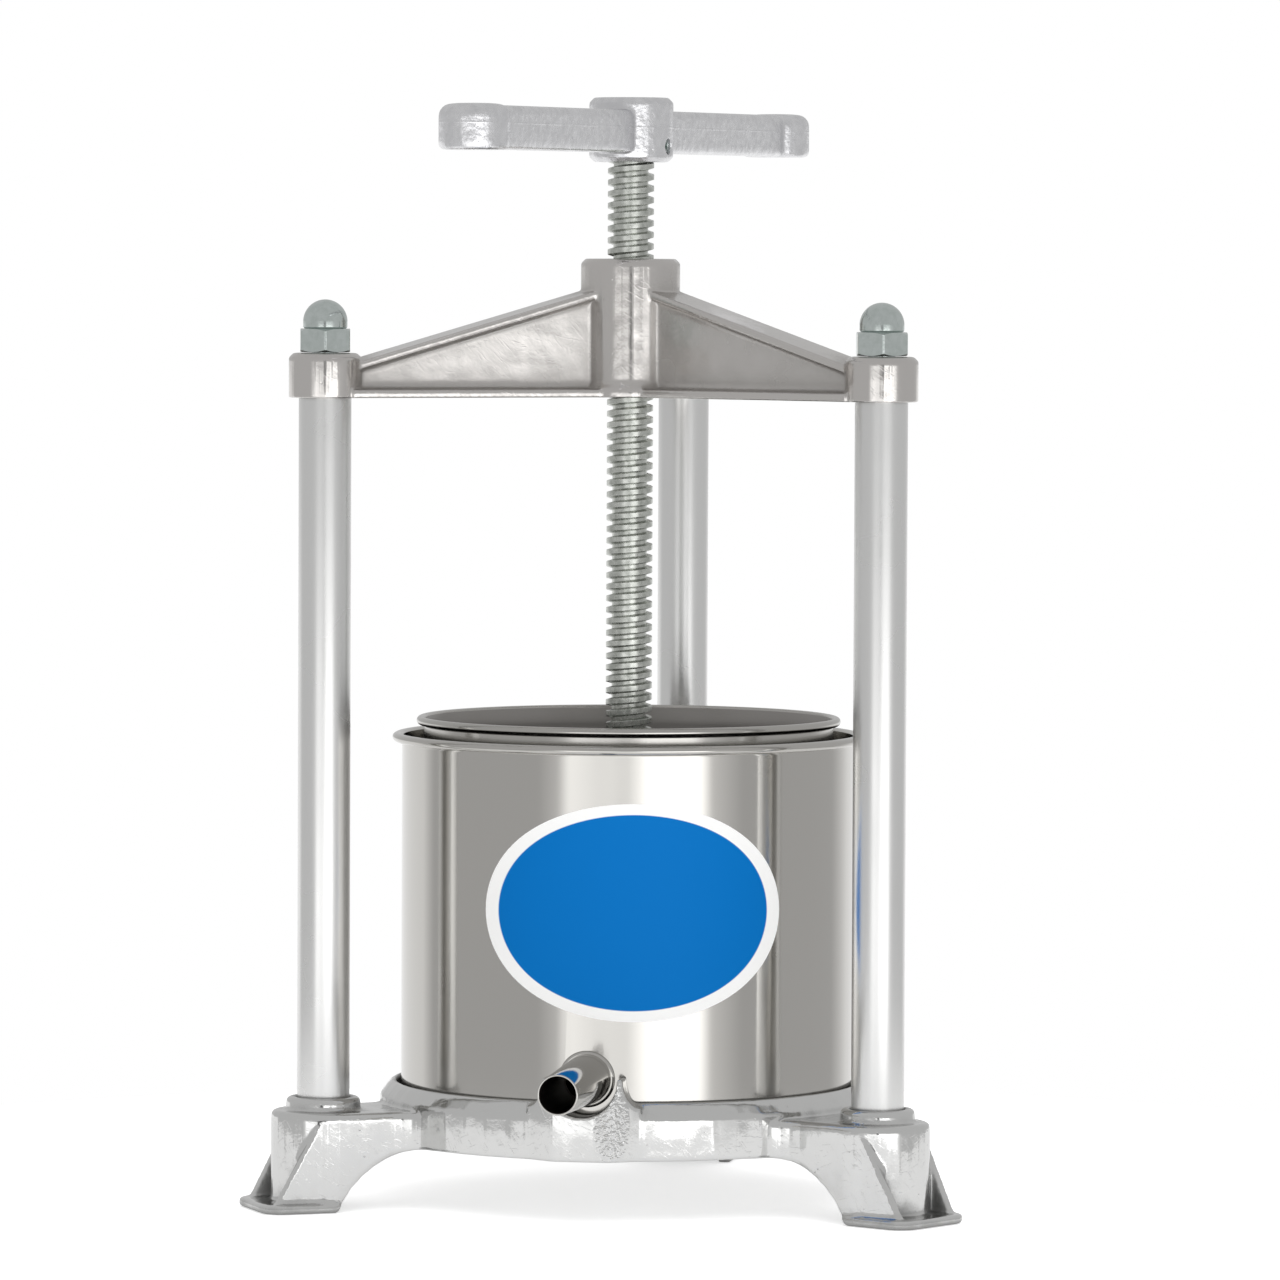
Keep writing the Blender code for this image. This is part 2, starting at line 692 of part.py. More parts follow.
def make_yoke():
    hub = YOKE_HUB_R
    yoke = turned(
        "yoke_casting",
        [
            (0, YOKE_HUB_TOP),
            (hub - CAST_EDGE_R, YOKE_HUB_TOP),
            (hub, YOKE_HUB_TOP - CAST_EDGE_R),
            (hub, YOKE_Z + YOKE_LOW_T + YOKE_FILLET_R),
            (hub + YOKE_HUB_LEDGE, YOKE_Z + YOKE_LOW_T),
            (hub + YOKE_HUB_LEDGE, YOKE_Z),
            (0, YOKE_Z),
        ],
        "cast_aluminium",
    )
    run = PILLAR_CIRCLE_R - YOKE_BOSS_R - hub
    slope = (YOKE_ARM_AT_BOSS - YOKE_ARM_AT_HUB) / run
    start = hub / 2
    end = PILLAR_CIRCLE_R - YOKE_BOSS_R / 2
    start_h = YOKE_ARM_AT_HUB + slope * (start - hub)
    end_h = YOKE_ARM_AT_HUB + slope * (end - hub)
    for side, degrees in SIDES.items():
        arm = loft(
            f"yoke_arm_{side}",
            [arm_section(start, start_h), arm_section(end, end_h)],
            along(degrees),
        )
        boss = turned(
            f"yoke_boss_{side}",
            [
                (0, YOKE_BOSS_TOP),
                (YOKE_BOSS_R - CAST_EDGE_R, YOKE_BOSS_TOP),
                (YOKE_BOSS_R, YOKE_BOSS_TOP - CAST_EDGE_R),
                (YOKE_BOSS_R, YOKE_Z),
                (0, YOKE_Z),
            ],
            place=Matrix.Translation(polar(PILLAR_CIRCLE_R, degrees)),
        )
        combine(yoke, "UNION", arm, boss)
    cut_yoke_openings(yoke)
    return yoke


def cut_yoke_openings(yoke):
    """The screw's bore, and over each pillar its socket and tie rod hole."""
    channel = cylinder("yoke_bore", SCREW_R + GAP, YOKE_Z - OVERLAP, YOKE_HUB_TOP + OVERLAP)
    combine(yoke, "DIFFERENCE", channel)
    top = YOKE_BOSS_TOP + OVERLAP
    low = YOKE_Z - OVERLAP
    socket = [
        (0, top),
        (ROD_R + GAP, top),
        (ROD_R + GAP, YOKE_Z + SOCKET_DEPTH),
        (PILLAR_R + GAP, YOKE_Z + SOCKET_DEPTH),
        (PILLAR_R + GAP, low),
        (0, low),
    ]
    for side, degrees in SIDES.items():
        centre = Matrix.Translation(polar(PILLAR_CIRCLE_R, degrees))
        hole = bore(f"yoke_socket_{side}", socket, STEPS_SMALL, centre)
        combine(yoke, "DIFFERENCE", hole)


def make_screw():
    """The press screw at its thread's outer size, with a grooved journal for the plate."""
    top = HANDLE_TOP - HANDLE_CROWN_T - GAP
    thrust = PLATE_BOSS_TOP + GAP
    neck = JOURNAL_R - GROOVE_DEPTH
    screw = turned(
        "press_screw",
        [
            (0, top),
            (SCREW_R - SCREW_CHAMFER, top),
            (SCREW_R, top - SCREW_CHAMFER),
            (SCREW_R, thrust + SCREW_CHAMFER),
            (SCREW_R - SCREW_CHAMFER, thrust),
            (JOURNAL_R, thrust),
            (JOURNAL_R, GROOVE_Z + GROOVE_W / 2),
            (neck, GROOVE_Z + GROOVE_W / 2),
            (neck, GROOVE_Z - GROOVE_W / 2),
            (JOURNAL_R, GROOVE_Z - GROOVE_W / 2),
            (JOURNAL_R, JOURNAL_END + SCREW_CHAMFER),
            (JOURNAL_R - SCREW_CHAMFER, JOURNAL_END),
            (0, JOURNAL_END),
        ],
        "zinc_plated_steel",
        32,
    )
    combine(screw, "DIFFERENCE", pin_hole("screw_pin_hole"))


def pin_hole(name):
    reach = HANDLE_HUB_R + OVERLAP
    place = Matrix.Translation((0, 0, ROLL_PIN_Z)) @ facing_front(HANDLE_TURN + 90)
    return cylinder(name, ROLL_PIN_R + GAP, -reach, reach, 16, place)


def handle_outline():
    """Two arms in plan, each widening through hollow necks into a round end."""
    half = HANDLE_ARM_HALF_W
    knob = HANDLE_KNOB_R - HANDLE_KNOB_OVERLAP
    side = half + HANDLE_NECK_R
    offset = math.sqrt((knob + HANDLE_NECK_R) ** 2 - side**2)
    lean = math.degrees(math.atan2(side, offset))
    neck_x = HANDLE_KNOB_AT - offset
    end = arc((neck_x, -side), HANDLE_NECK_R, 90, lean, 4)
    end += arc((HANDLE_KNOB_AT, 0), knob, lean - 180, 180 - lean, 10)[1:-1]
    end += arc((neck_x, side), HANDLE_NECK_R, -lean, -90, 4)
    return end + rotated(end, 180)


def make_handle():
    low = HANDLE_Z + HANDLE_ARM_RISE
    high = low + HANDLE_ARM_H
    place = along(HANDLE_TURN)
    handle = prism("handle_casting", [handle_outline()], low, high, "cast_aluminium", place)
    round_edges(handle, HANDLE_ARM_EDGE_R)
    chamfer = HANDLE_HUB_CHAMFER
    hub = turned(
        "handle_hub",
        [
            (0, HANDLE_TOP),
            (HANDLE_HUB_R - chamfer, HANDLE_TOP),
            (HANDLE_HUB_R, HANDLE_TOP - chamfer),
            (HANDLE_HUB_R, HANDLE_Z + chamfer),
            (HANDLE_HUB_R - chamfer, HANDLE_Z),
            (0, HANDLE_Z),
        ],
    )
    combine(handle, "UNION", hub)
    for turn in (HANDLE_TURN, HANDLE_TURN + 180):
        combine(handle, "UNION", make_knob(turn, low, high))
    crown = HANDLE_TOP - HANDLE_CROWN_T
    socket = cylinder("handle_bore", SCREW_R + GAP, HANDLE_Z - OVERLAP, crown)
    combine(handle, "DIFFERENCE", socket, pin_hole("handle_pin_hole"))


def make_knob(degrees, low, high):
    """The round end of a handle arm, with a soft upper edge and a low dome."""
    edge = HANDLE_ARM_EDGE_R
    side = HANDLE_KNOB_R
    top = high + HANDLE_KNOB_DOME
    bottom = low - HANDLE_KNOB_PROUD
    profile = [(0, top), (side * 0.5, top - HANDLE_KNOB_DOME * 0.2)]
    brow = HANDLE_KNOB_EDGE_R
    profile += arc((side - brow, high + HANDLE_KNOB_PROUD - brow), brow, 78, 0, 5)
    profile += arc((side - edge, bottom + edge), edge, 0, -90, 3)
    profile += [(0, bottom)]
    return turned(
        f"handle_knob_{degrees}",
        profile,
        place=Matrix.Translation(polar(HANDLE_KNOB_AT, degrees)),
    )


def make_roll_pin():
    """A slotted spring pin through the handle's hub and the screw, square to the arms."""
    half_l = HANDLE_HUB_R - ROLL_PIN_RECESS
    slot = 20
    outline = arc((0, 0), ROLL_PIN_R, slot, 360 - slot, 16)
    outline += arc((0, 0), ROLL_PIN_R - ROLL_PIN_WALL, 360 - slot, slot, 16)
    place = Matrix.Translation((0, 0, ROLL_PIN_Z)) @ facing_front(HANDLE_TURN + 90)
    prism("handle_roll_pin", [outline], -half_l, half_l, "zinc_plated_steel", place)


def make_plate():
    """The ribbed press plate; its boss takes the screw's journal and a grub screw holds it."""
    top = PLATE_Z + PLATE_T
    edge = PLATE_EDGE_R
    plate = turned(
        "press_plate",
        [
            (0, PLATE_BOSS_TOP),
            (PLATE_BOSS_R - edge, PLATE_BOSS_TOP),
            (PLATE_BOSS_R, PLATE_BOSS_TOP - edge),
            (PLATE_BOSS_R, top),
            (PLATE_R - edge, top),
            (PLATE_R, top - edge),
            (PLATE_R, PLATE_Z + edge),
            (PLATE_R - edge, PLATE_Z),
            (0, PLATE_Z),
        ],
        "cast_aluminium",
        STEPS_LARGE,
    )
    rib = [
        (PLATE_BOSS_R - OVERLAP, top - edge),
        (PLATE_RIB_END_R, top - edge),
        (PLATE_RIB_END_R, top + edge),
        (PLATE_BOSS_R, top + PLATE_RIB_H),
        (PLATE_BOSS_R - OVERLAP, top + PLATE_RIB_H),
    ]
    for i in range(PLATE_RIBS):
        place = upright(360 * (i + 0.5) / PLATE_RIBS)
        combine(
            plate,
            "UNION",
            prism(f"plate_rib_{i}", [rib], -PLATE_RIB_T / 2, PLATE_RIB_T / 2, place=place),
        )
    socket = cylinder("plate_socket", JOURNAL_R + GAP, JOURNAL_END - GAP, PLATE_BOSS_TOP + OVERLAP)
    level = Matrix.Translation((0, 0, GROOVE_Z)) @ facing_front()
    tapping = cylinder("plate_tapping", GRUB_R + GAP, 0, PLATE_BOSS_R + OVERLAP, 16, level)
    combine(plate, "DIFFERENCE", socket, tapping)
    make_grub_screw(level)


def make_grub_screw(level):
    """Its tip runs in the journal's groove, so that the screw turns while the plate doesn't."""
    tip = JOURNAL_R - GROOVE_DEPTH + GAP
    shoulder = JOURNAL_R + GAP
    outer = PLATE_BOSS_R - GAP
    profile = [(0, outer), (GRUB_R, outer), (GRUB_R, shoulder)]
    profile += [(GRUB_TIP_R, shoulder), (GRUB_TIP_R, tip), (0, tip)]
    grub = turned("plate_grub_screw", profile, "zinc_plated_steel", 16, level)
    key = arc((0, 0), GRUB_R / 2, 0, 300, 5)
    socket = prism("grub_key", [key], outer - GRUB_KEY_DEPTH, outer + OVERLAP, place=level)
    combine(grub, "DIFFERENCE", socket)


def make_vessel():
    """A drawn shell with a curled rim, and the tapered spout that passes through its wall."""
    inner = VESSEL_R - VESSEL_WALL
    corner = VESSEL_CORNER_R
    bead = (VESSEL_R + VESSEL_BEAD_W * 0.7, VESSEL_BEAD_Z)
    squash = VESSEL_BEAD_H / VESSEL_BEAD_W
    profile = [(0, VESSEL_FLOOR)]
    profile += arc((VESSEL_R - corner, VESSEL_Z + corner), corner - VESSEL_WALL, -90, 0, 4)
    profile += [(inner, VESSEL_BEAD_Z)]
    profile += arc(bead, VESSEL_BEAD_W, 150, -130, 8, squash)
    profile += [(VESSEL_R, VESSEL_BEAD_Z - VESSEL_BEAD_H * 1.2)]
    profile += arc((VESSEL_R - corner, VESSEL_Z + corner), corner, 0, -90, 4)
    profile += [(0, VESSEL_Z)]
    shell = turned("container_shell", profile, "stainless_sheet", STEPS_LARGE)
    level = Matrix.Translation((0, 0, SPOUT_Z)) @ facing_front()
    start = inner - SPOUT_INSIDE
    hole = cylinder(
        "spout_hole", SPOUT_ROOT_R + GAP, start - OVERLAP, VESSEL_R + OVERLAP, STEPS_SMALL, level
    )
    combine(shell, "DIFFERENCE", hole)
    root = SPOUT_ROOT_R
    tip = VESSEL_R + SPOUT_REACH
    turned(
        "spout_tube",
        [
            (SPOUT_TIP_R - SPOUT_WALL, tip),
            (SPOUT_TIP_R, tip),
            (root, VESSEL_R),
            (root, start),
            (root - SPOUT_WALL, start),
            (root - SPOUT_WALL, VESSEL_R),
        ],
        "stainless_sheet",
        STEPS_SMALL,
        level,
        ring=True,
    )


def make_basket():
    """A perforated wall with a curled rim and a ledge, which carries a perforated strainer."""
    inner = BASKET_INNER_R
    ledge_top = BASKET_Z + LEDGE_RISE + BASKET_WALL
    bead = (BASKET_R + BASKET_BEAD_R * 0.73, BASKET_BEAD_Z)
    profile = [
        (inner, BASKET_Z),
        (inner, BASKET_Z + LEDGE_RISE),
        (inner - LEDGE_W, BASKET_Z + LEDGE_RISE),
        (inner - LEDGE_W, ledge_top),
        (inner, ledge_top),
        (inner, BASKET_BEAD_Z),
    ]
    profile += arc(bead, BASKET_BEAD_R, 150, -130, 6)
    profile += [(BASKET_R, BASKET_BEAD_Z - BASKET_BEAD_R * 1.2), (BASKET_R, BASKET_Z)]
    shell = turned("basket_shell", profile, "stainless_sheet", STEPS_LARGE, ring=True)
    combine(shell, "DIFFERENCE", wall_holes(), drain_notches())
    disc = [(0, STRAINER_TOP), (STRAINER_R, STRAINER_TOP), (STRAINER_R, STRAINER_Z), (0, STRAINER_Z)]
    strainer = turned("basket_strainer", disc, "stainless_sheet", STEPS_LARGE)
    combine(strainer, "DIFFERENCE", floor_holes())


def wall_holes():
    drills = []
    for row in range(WALL_HOLE_ROWS):
        height = BASKET_Z + WALL_HOLE_START + row * WALL_HOLE_PITCH
        for i in range(WALL_HOLES_ROUND):
            degrees = 360 * (i + row % 2 / 2) / WALL_HOLES_ROUND
            place = Matrix.Translation((0, 0, height)) @ facing_front(degrees)
            low = BASKET_INNER_R - OVERLAP
            drills.append(cylinder("wall_hole", HOLE_R, low, BASKET_R + OVERLAP, 8, place))
    return merged("wall_holes", drills)


def drain_notches():
    drills = []
    for i in range(DRAIN_NOTCHES):
        degrees = 360 * (i + 0.5) / DRAIN_NOTCHES
        place = Matrix.Translation((0, 0, BASKET_Z)) @ facing_front(degrees)
        low = BASKET_INNER_R - LEDGE_W - OVERLAP
        drills.append(cylinder("drain_notch", DRAIN_R, low, BASKET_R + OVERLAP, 12, place))
    return merged("drain_notches", drills)


def floor_holes():
    low = STRAINER_Z - OVERLAP
    high = STRAINER_TOP + OVERLAP
    drills = [cylinder("floor_hole", HOLE_R, low, high, 8)]
    for share, count in FLOOR_HOLE_RINGS.items():
        for i in range(count):
            place = Matrix.Translation(polar(STRAINER_R * share, 360 * i / count))
            drills.append(cylinder("floor_hole", HOLE_R, low, high, 8, place))
    return merged("floor_holes", drills)


def shade_parts():
    for obj in parts.objects:
        obj.data.shade_smooth()
        obj.data.set_sharp_from_angle(angle=math.radians(35))


clear_scene()
parts = new_collection("cheese_press")
cutters = new_collection("cutters", hidden=True)
make_base()
make_pillars()
make_yoke()
make_vessel()
make_basket()
make_plate()
make_screw()
make_handle()
make_roll_pin()
shade_parts()
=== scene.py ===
"""The looks of the cheese press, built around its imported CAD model.

Everything is in metres in the CAD frame: the feet stand on z = 0, the screw runs on Z and
the spout points towards -Y. Castings are skins drawn over their CAD solids, so that their
edges run into each other as cast metal does. Turned and drawn pieces are made afresh.
"""

import logging
import math
from dataclasses import dataclass, field
from enum import Enum
from functools import partial
from typing import Callable, Sequence

import bmesh
import bpy
from mathutils import Matrix, Vector


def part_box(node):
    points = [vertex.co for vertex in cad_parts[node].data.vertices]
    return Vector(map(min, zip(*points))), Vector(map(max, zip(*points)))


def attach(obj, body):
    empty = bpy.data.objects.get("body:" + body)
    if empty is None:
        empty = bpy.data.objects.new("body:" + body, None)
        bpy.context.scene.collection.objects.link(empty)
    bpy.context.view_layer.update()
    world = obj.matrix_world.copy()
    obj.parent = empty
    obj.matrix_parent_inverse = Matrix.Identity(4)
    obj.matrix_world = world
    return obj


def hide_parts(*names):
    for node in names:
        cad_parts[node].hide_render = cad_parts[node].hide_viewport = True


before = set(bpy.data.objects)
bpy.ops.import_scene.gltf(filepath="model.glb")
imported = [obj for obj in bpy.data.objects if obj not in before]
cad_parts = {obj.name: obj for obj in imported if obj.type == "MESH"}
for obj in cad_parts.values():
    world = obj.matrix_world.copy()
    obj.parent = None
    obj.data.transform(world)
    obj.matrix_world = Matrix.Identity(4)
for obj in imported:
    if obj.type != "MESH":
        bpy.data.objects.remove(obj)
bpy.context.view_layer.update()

LOG = logging.getLogger("cheese_press")
MM = 0.001
FRONT = -90  # Where the spout points, in degrees
FULL_TURN = {"cent": (0, 0, 0), "axis": (0, 0, 1), "angle": math.tau}

Shape = bmesh.types.BMesh
Thing = bpy.types.Object
Socket = bpy.types.NodeSocket
Point = tuple[float, float]
Corner = tuple[float, float, float]
Inputs = dict[int | str, float | Sequence[float] | Socket]
Adder = Callable[..., Socket]


class Body(Enum):
    """The CAD bodies that pieces ride on."""

    FRAME = "frame"
    PLATE = "plate"
    SCREW = "screw"
    CONTAINER = "container"
    BASKET = "basket"


class Side(Enum):
    """The three legs by the direction, in degrees, that each points in."""

    BACK = 90
    LEFT = 210
    RIGHT = 330

    @property
    def tag(self) -> str:
        """The word that ends the names of this side's nodes."""
        return self.name.lower()


class Slot(Enum):
    """The record's material slots."""

    CASTING = "cast_aluminium"
    TUBE = "polished_tube"
    SHEET = "stainless_sheet"
    ZINC = "zinc_plated_steel"


def linear(hex_colour: str) -> tuple[float, float, float, float]:
    """Turns an sRGB hex colour into linear light.

    Args:
        hex_colour: A colour such as "#c8c8c6".

    Returns:
        Linear red, green and blue, with an alpha of 1.
    """
    channels = [int(hex_colour[i : i + 2], 16) / 255 for i in (1, 3, 5)]
    red, green, blue = (
        c / 12.92 if c <= 0.04045 else ((c + 0.055) / 1.055) ** 2.4 for c in channels
    )
    return red, green, blue, 1.0


def feed(node: bpy.types.Node, inputs: Inputs) -> None:
    """Sets a node's inputs, by name or number, to values or to the sockets that feed them."""
    for key, value in inputs.items():
        if isinstance(value, Socket):
            node.id_data.links.new(value, node.inputs[key])
        else:
            node.inputs[key].default_value = value


def add_node(
    tree: bpy.types.NodeTree,
    kind: str,
    inputs: Inputs | None = None,
    out: int | str = 0,
    **settings: object,
) -> Socket:
    """Adds a node with its settings, and sets or links its inputs.

    Args:
        tree: The node tree to add to.
        kind: The node's type name, after "ShaderNode".
        inputs: Input name or number to a value, or to the socket that feeds it.
        out: The name or number of the output that is wanted.
        settings: The node's own properties.

    Returns:
        The new node's output.
    """
    node = tree.nodes.new("ShaderNode" + kind)
    for name, value in settings.items():
        setattr(node, name, value)
    feed(node, inputs or {})
    return node.outputs[out]


def per_mm(size: float) -> float:
    """The texture scale whose features are this many millimetres across."""
    return 1000.0 / size


# ------------ shapes


def rounded(corners: Sequence[Corner], steps: int = 5) -> list[Point]:
    """Turns corners with radii into a polyline with round corners.

    Args:
        corners: (radius from the axis, height, corner radius) for each corner, in order.
        steps: Segments in each rounding.

    Returns:
        The points of the rounded profile.
    """
    points: list[Point] = []
    for i, (x, y, radius) in enumerate(corners):
        here = Vector((x, y))
        if radius == 0 or i in (0, len(corners) - 1):
            points.append((x, y))
            continue
        back = (Vector(corners[i - 1][:2]) - here).normalized()
        ahead = (Vector(corners[i + 1][:2]) - here).normalized()
        half = back.angle(ahead) / 2
        reach = radius / math.tan(half)
        centre = here + (back + ahead).normalized() * radius / math.sin(half)
        start = here + back * reach - centre
        swing = (here + ahead * reach - centre).angle_signed(start)
        for step in range(steps + 1):
            turn = Matrix.Rotation(swing * step / steps, 2)
            points.append(tuple(centre + turn @ start))
    return points


def arc_points(centre: Point, radius: float, start: float, end: float, steps: int) -> list[Point]:
    """Points on an arc between two angles in degrees, both ends included."""
    angles = [math.radians(start + (end - start) * i / steps) for i in range(steps + 1)]
    return [(centre[0] + radius * math.cos(a), centre[1] + radius * math.sin(a)) for a in angles]


def spun(profile: Sequence[Point], steps: int = 128, ring: bool = False) -> Shape:
    """Spins a profile round the Z axis into a closed shape.

    Args:
        profile: (radius, height) points. Unless it is a ring, both ends lie on the axis.
        steps: Segments in the full turn.
        ring: Whether the profile is a closed loop away from the axis.

    Returns:
        The shape, with its normals pointing out.
    """
    shape = bmesh.new()
    verts = [shape.verts.new((radius, 0.0, height)) for radius, height in profile]
    edges = [shape.edges.new(pair) for pair in zip(verts, verts[1:])]
    if ring:
        edges.append(shape.edges.new((verts[-1], verts[0])))
    bmesh.ops.spin(
        shape, geom=verts + edges, dvec=(0, 0, 0), steps=steps, use_merge=True, **FULL_TURN
    )
    bmesh.ops.remove_doubles(shape, verts=shape.verts, dist=1e-7)
    bmesh.ops.recalc_face_normals(shape, faces=shape.faces)
    return shape


def moved(shape: Shape, place: Matrix) -> Shape:
    """Moves every point of a shape, and returns the shape."""
    bmesh.ops.transform(shape, matrix=place, verts=shape.verts)
    return shape


def cylinder(radius: float, length: float, segments: int, place: Matrix) -> Shape:
    """A closed cylinder along a frame's Z axis, half of it on each side of the origin."""
    shape = bmesh.new()
    bmesh.ops.create_cone(
        shape, cap_ends=True, segments=segments, radius1=radius, radius2=radius, depth=length
    )
    return moved(shape, place)


def joined(*shapes: Shape) -> Shape:
    """Puts several closed shapes into the first of them, and returns it."""
    first = shapes[0]
    for other in shapes[1:]:
        mesh = bpy.data.meshes.new("joined")
        other.to_mesh(mesh)
        other.free()
        first.from_mesh(mesh)
        bpy.data.meshes.remove(mesh)
    return first


def held(shape: Shape, name: str) -> Thing:
    """Turns a shape into a linked object, and frees the shape."""
    mesh = bpy.data.meshes.new(name)
    shape.to_mesh(mesh)
    shape.free()
    thing = bpy.data.objects.new(name, mesh)
    bpy.context.scene.collection.objects.link(thing)
    return thing


def baked(thing: Thing) -> Shape:
    """Applies an object's modifiers, removes it, and returns its shape."""
    graph = bpy.context.evaluated_depsgraph_get()
    shape = bmesh.new()
    shape.from_object(thing, graph)
    bpy.data.objects.remove(thing, do_unlink=True)
    return shape


def boolean(body: Shape, tool: Shape, operation: str) -> Shape:
    """Joins, cuts or intersects two closed shapes.

    Args:
        body: The shape that is worked on.
        tool: The other shape.
        operation: "UNION", "DIFFERENCE" or "INTERSECT".

    Returns:
        The new shape. Both inputs are used up.
    """
    thing, other = held(body, "worked"), held(tool, "tool")
    modifier = thing.modifiers.new("work", "BOOLEAN")
    modifier.operation = operation
    modifier.solver = "EXACT"
    modifier.object = other
    made = baked(thing)
    bpy.data.objects.remove(other, do_unlink=True)
    bmesh.ops.remove_doubles(made, verts=made.verts, dist=1e-6)
    return made


def along(degrees: float, outwards: float = 0.0, up: float = 0.0) -> Matrix:
    """A frame whose X axis points outwards at this angle, moved outwards and up."""
    turn = Matrix.Rotation(math.radians(degrees), 4, "Z")
    return turn @ Matrix.Translation((outwards, 0, up))


def facing(degrees: float, height: float) -> Matrix:
    """A frame at this height whose Z axis points outwards at this angle."""
    return along(degrees, 0, height) @ Matrix.Rotation(math.radians(90), 4, "Y")


def span(node: str) -> tuple[float, float]:
    """The lowest and highest point of a CAD node."""
    low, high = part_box(node)
    return low.z, high.z


def middle(node: str) -> float:
    """The height of a CAD node's middle."""
    return sum(span(node)) / 2


# ------------ finishes


@dataclass(frozen=True)
class CastAluminium:
    """Sand-cast aluminium, tumbled and buffed.

    The wheel makes its ridges and open faces shine in soft waves. Hollows that it can't
    reach keep the duller, rougher skin of the sand; their darker colour, found by ambient
    occlusion, is also painted shade.

    Args:
        name: What the material is called.
        bright, dull: The colours of the buffed metal, and of the cast skin with painted shade.
        smooth, rough: The roughness of both.
        reach: How open a face is where the wheel starts to touch, and where it has done all,
        which also bounds the painted shade.
        hollow: How near, in mm, other metal shuts the wheel out and casts the painted shade.
        blotches: The size, in mm, of the patches that took more or less of the wheel.
        uneven: How much those patches differ.
        grain, skin: How high the fine grain and the hollows' coarse grain stand, in mm.
        belt: How deep the waves from a grinding belt are, in mm.
        torn_at: The middle of the patch that was never ground.
        seam_height: Where the mould's seam still shows.
    """

    name: str
    bright: str = "#c4c4c3"
    dull: str = "#a3a3a2"
    smooth: float = 0.13
    rough: float = 0.42
    reach: tuple[float, float] = (0.5, 0.8)
    hollow: float = 9
    blotches: float = 11
    uneven: float = 0.16
    grain: float = 0.02
    skin: float = 0.22
    belt: float = 0.0
    torn_at: Corner | None = None
    seam_height: float | None = None

    def build(self) -> bpy.types.Material:
        """Makes the material."""
        material, add, shader = new_material(self.name)
        place = add("TexCoord", out="Object")
        distance = {"Distance": self.hollow * MM}
        open_face = add("AmbientOcclusion", distance, "AO", samples=6)
        patch = {"Vector": place, "Scale": per_mm(self.blotches), "Detail": 4}
        patchy = add("TexNoise", patch)
        limits = {0: patchy, 1: 0.3, 2: 0.7, 3: -self.uneven, 4: self.uneven}
        blotch = add("MapRange", limits)
        rubbed_and_shaded = add("Math", {0: open_face, 1: blotch}, operation="ADD")
        wear_and_shade = add("MapRange", {0: rubbed_and_shaded, 1: self.reach[0], 2: self.reach[1]})
        # Partly painted shade: the colour turns to the dull one where ambient occlusion finds a
        # hollow, as well as where the cast skin was left
        shades = {0: wear_and_shade, 6: linear(self.dull), 7: linear(self.bright)}
        colour = add("Mix", shades, 2, data_type="RGBA")
        rough = add("MapRange", {0: wear_and_shade, 3: self.rough, 4: self.smooth})
        # Relief, in mm: 9 mm waves left by the wheel, 1.2 mm cast grain, pits and scratches
        wave = {"Vector": place, "Scale": per_mm(9), "Detail": 1}
        layers = [(add("TexNoise", wave), 0.13)]
        if self.belt:
            tall = stretched(add, place, (per_mm(13), per_mm(13), per_mm(45)))
            layers.append((tall, self.belt))
        fine = {"Vector": place, "Scale": per_mm(1.2), "Detail": 3}
        layers.append((add("TexNoise", fine), self.grain))
        layers.append((self.cast_skin(add, place, wear_and_shade), self.skin))
        if self.torn_at is not None:
            layers.append((self.torn(add, place), 0.9))
        layers.append((self.pits(add, place), -0.08))
        layers.append((scratches(add, place), 0.008))
        if self.seam_height is not None:
            layers.append((self.seam(add, place), 0.12))
        coat(add, shader, colour, rough, layers)
        return material

    def cast_skin(self, add: Adder, place: Socket, wear_and_shade: Socket) -> Socket:
        """Coarse 1.8 mm grain that only stands where the wheel didn't reach."""
        left = add("MapRange", {0: wear_and_shade, 1: 0.0, 2: 0.8, 3: 1.0, 4: 0.0})
        coarse = add("TexNoise", {"Vector": place, "Scale": per_mm(1.8), "Detail": 4})
        return add("Math", {0: left, 1: coarse}, operation="MULTIPLY")

    def torn(self, add: Adder, place: Socket) -> Socket:
        """A tall patch, 9 mm across, left as rough as it came out of the sand."""
        off = add("VectorMath", {0: place, 1: self.torn_at}, operation="SUBTRACT")
        tall = add("VectorMath", {0: off, 1: (1, 1, 0.35)}, operation="MULTIPLY")
        away = add("VectorMath", {0: tall}, 1, operation="LENGTH")
        here = add("MapRange", {0: away, 1: 3 * MM, 2: 6.5 * MM, 3: 1.0, 4: 0.0})
        lumps = add("TexNoise", {"Vector": place, "Scale": per_mm(1.4), "Detail": 2})
        return add("Math", {0: here, 1: lumps}, operation="MULTIPLY")

    def pits(self, add: Adder, place: Socket) -> Socket:
        """Small gas holes, here and there, that the wheel opened."""
        cells = add("TexVoronoi", {"Vector": place, "Scale": per_mm(5)}, "Distance")
        holes = add("MapRange", {0: cells, 1: 0.05, 2: 0.09, 3: 1.0, 4: 0.0})
        cloud = add("TexNoise", {"Vector": place, "Scale": per_mm(16), "Detail": 2})
        patches = add("MapRange", {0: cloud, 1: 0.52, 2: 0.56})
        return add("Math", {0: holes, 1: patches}, operation="MULTIPLY")

    def seam(self, add: Adder, place: Socket) -> Socket:
        """A low ridge where the two halves of the mould met, worn away here and there."""
        up = add("SeparateXYZ", {0: place}, 2)
        off = add("Math", {0: up, 1: self.seam_height}, operation="SUBTRACT")
        away = add("Math", {0: off}, operation="ABSOLUTE")
        line = add("MapRange", {0: away, 1: 0.15 * MM, 2: 0.4 * MM, 3: 1.0, 4: 0.0})
        cloud = add("TexNoise", {"Vector": place, "Scale": per_mm(12), "Detail": 2})
        left = add("MapRange", {0: cloud, 1: 0.4, 2: 0.6, 3: 0.15, 4: 1.0})
        return add("Math", {0: line, 1: left}, operation="MULTIPLY")


